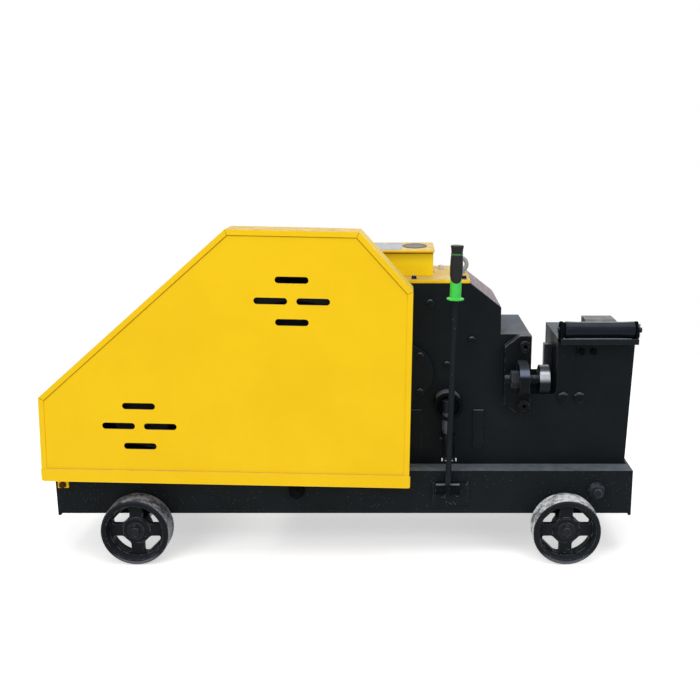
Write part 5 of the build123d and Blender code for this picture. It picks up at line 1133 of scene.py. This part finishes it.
piece("stop_screw", [
    lathe(STOP_HEAD, RIGHT, on_stop(423), stop_head_reflection, 72), lathe(STOP_SHANK, RIGHT, on_stop(351), cast_black),
    thread(10, 2.4, 69, RIGHT, on_stop(353), cast_black)], crease=25)
piece("lock_nut", [heads([(on_stop(381), (-1, 0, 0))], dark_fastener, 34, 18.4)], crease=25)
cap_outlines = [circle(12), circle(5.8, 6, start=0.3)]
cap_parts = []
for z in (STOP_Z - 66, STOP_Z + 66):
    cap_parts.append(plate(cap_outlines, 15, 0.9, upright(-159.5, CAP_X, z), scuffed_black))
    cap_parts.append(lathe(CAP_SOCKET, (0, -1, 0), (CAP_X, -152.2, z), shaded_black))
piece("stop_bracket_screws", cap_parts)


# Support roller

ROLLER_Y = -146
ROLLER_Z = 510
ROLLER_END = [(6.3, 0), (16.6, 0), (18.2, 0.5), (19, 1.8), (18.9, 5), (18.5, 12), (18.1, 24), (17.9, 45)]
ROLLER_LONG = 150
ROLLER_SHAFT = [(0, 0), (5, 0), (6, 1), (6, 181.7), (5, 182.7), (0, 182.7)]
SPACER = [(6, 0), (16.4, 0), (17.2, 0.8), (17.2, 3.9), (16.4, 4.7), (6, 4.7)]
PIN_LEGS = [(0, 0, 9), (0, 0, -7), (0.6, -1, -10), (-1, -5, -16)]
PIN_LOOP = [(0, 0, 9), (0, -3, 11), (0, 0, 13.5), (0, 3, 11)]


def on_roller(x, y=0, z=0):
    """Point beside the roller's axis."""
    return (x, ROLLER_Y + y, ROLLER_Z + z)


def trough_finish(at, _):
    """Cast foot, handled faces between the cheeks, shade outside them."""
    if at.z < 481:
        return cast_black
    return handled_black if 484 < at.x < 632 else shaded_black


roller_line = ROLLER_END + [(radius, ROLLER_LONG - along) for radius, along in reversed(ROLLER_END)]
piece("roller", [lathe(roller_line, RIGHT, on_roller(483), roller_black, 72)], crease=30)
dress_by_face("roller_bracket", 1.8, trough_finish)
piece("roller_shaft", [
    lathe(SPACER, RIGHT, on_roller(478), shaded_black),
    lathe(ROLLER_SHAFT, RIGHT, on_roller(467), dark_fastener),
    wire([on_roller(645 + x, y, z) for x, y, z in PIN_LEGS], 1.2, bright),
    wire([on_roller(645 + x, y, z) for x, y, z in PIN_LOOP], 1.2, bright, cyclic=True)])


# Studio: pale floor, soft light, and the photograph's viewpoint

FLOOR_WHITE = (243.4, 243.4, 243.4)
FLOOR_DRIFT = (242.4, 242.4, 242.4)
FLOOR_GLOW = 0.5
FLOOR_SOLID = 1.1
FLOOR_GONE = 2.4
SKY_LIGHT = 0.35
LIGHTS = (
    ("overhead", (0.1, -0.6, 2.6), (0.0, 0.0, 0.3), (2.6, 2.0), 34.0),
    ("front_left", (-1.7, -2.6, 1.7), (0.0, 0.0, 0.4), (1.8, 1.8), 30.0),
    ("front_right", (2.0, -2.4, 1.4), (0.2, 0.0, 0.4), (1.6, 1.6), 22.0),
    ("back", (0.3, 2.6, 2.0), (0.0, 0.0, 0.4), (2.4, 1.6), 24.0),
)


def seen(tree):
    """1 for what the camera sees, straight or mirrored, and 0 for the light that falls on the object."""
    ray = tree.nodes.new("ShaderNodeLightPath").outputs
    mirrored = calc("MAXIMUM", ray["Is Glossy Ray"], ray["Is Transmission Ray"])
    return calc("MAXIMUM", ray["Is Camera Ray"], mirrored)


def studio_white():
    """Floor finish: plain white, fading into the white surroundings, with the object's shadow kept."""
    material, tree, shader = finish("Studio floor")
    colour = blend(use(tree, mottle, scale=2.0), FLOOR_WHITE, FLOOR_DRIFT)
    away = put(tree, "ShaderNodeVectorMath", {0: object_place(tree)}, "Value", operation="LENGTH")
    fill(shader, {"Base Color": colour, "Roughness": 1.0, "Specular IOR Level": 0.0,
                  "Alpha": span(away, FLOOR_SOLID, FLOOR_GONE, 1.0, 0.0),
                  "Emission Color": seen(tree), "Emission Strength": FLOOR_GLOW})
    return material


floor_mesh = bpy.data.meshes.new("studio_floor")
floor_mesh.from_pydata([(-30, -30, 0), (30, -30, 0), (30, 30, 0), (-30, 30, 0)], [], [(0, 1, 2, 3)])
floor_mesh.materials.append(studio_white())
floor = linked("studio_floor", floor_mesh)
floor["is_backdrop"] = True

world = bpy.data.worlds.new("Studio")
world.use_nodes = True
scene.world = world
sky = world.node_tree
strength = plus(times(seen(sky), 1.0 - SKY_LIGHT), SKY_LIGHT)
fill(sky.nodes["Background"], {"Color": (1.0, 1.0, 1.0, 1.0), "Strength": strength})

for name, place, target, size, power in LIGHTS:
    lamp = bpy.data.lights.new(name, "AREA")
    lamp.shape = "RECTANGLE"
    lamp.size, lamp.size_y = size
    lamp.energy = power
    holder = linked(name, lamp)
    holder.location = place
    holder.rotation_euler = (Vector(target) - Vector(place)).to_track_quat("-Z", "Y").to_euler()

CAMERA_DIP = 0.244
camera = bpy.data.cameras.new("photo_view")
camera.sensor_width = 36.0
camera.lens = 50.76
camera.shift_x = -0.0819
camera.shift_y = 0.0433
viewpoint = linked("photo_view", camera)
viewpoint.location = (0.1424, -2.2445, 0.9203)
viewpoint.rotation_euler = (pi / 2 - CAMERA_DIP, 0.0, 0.0)
scene.camera = viewpoint

low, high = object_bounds()
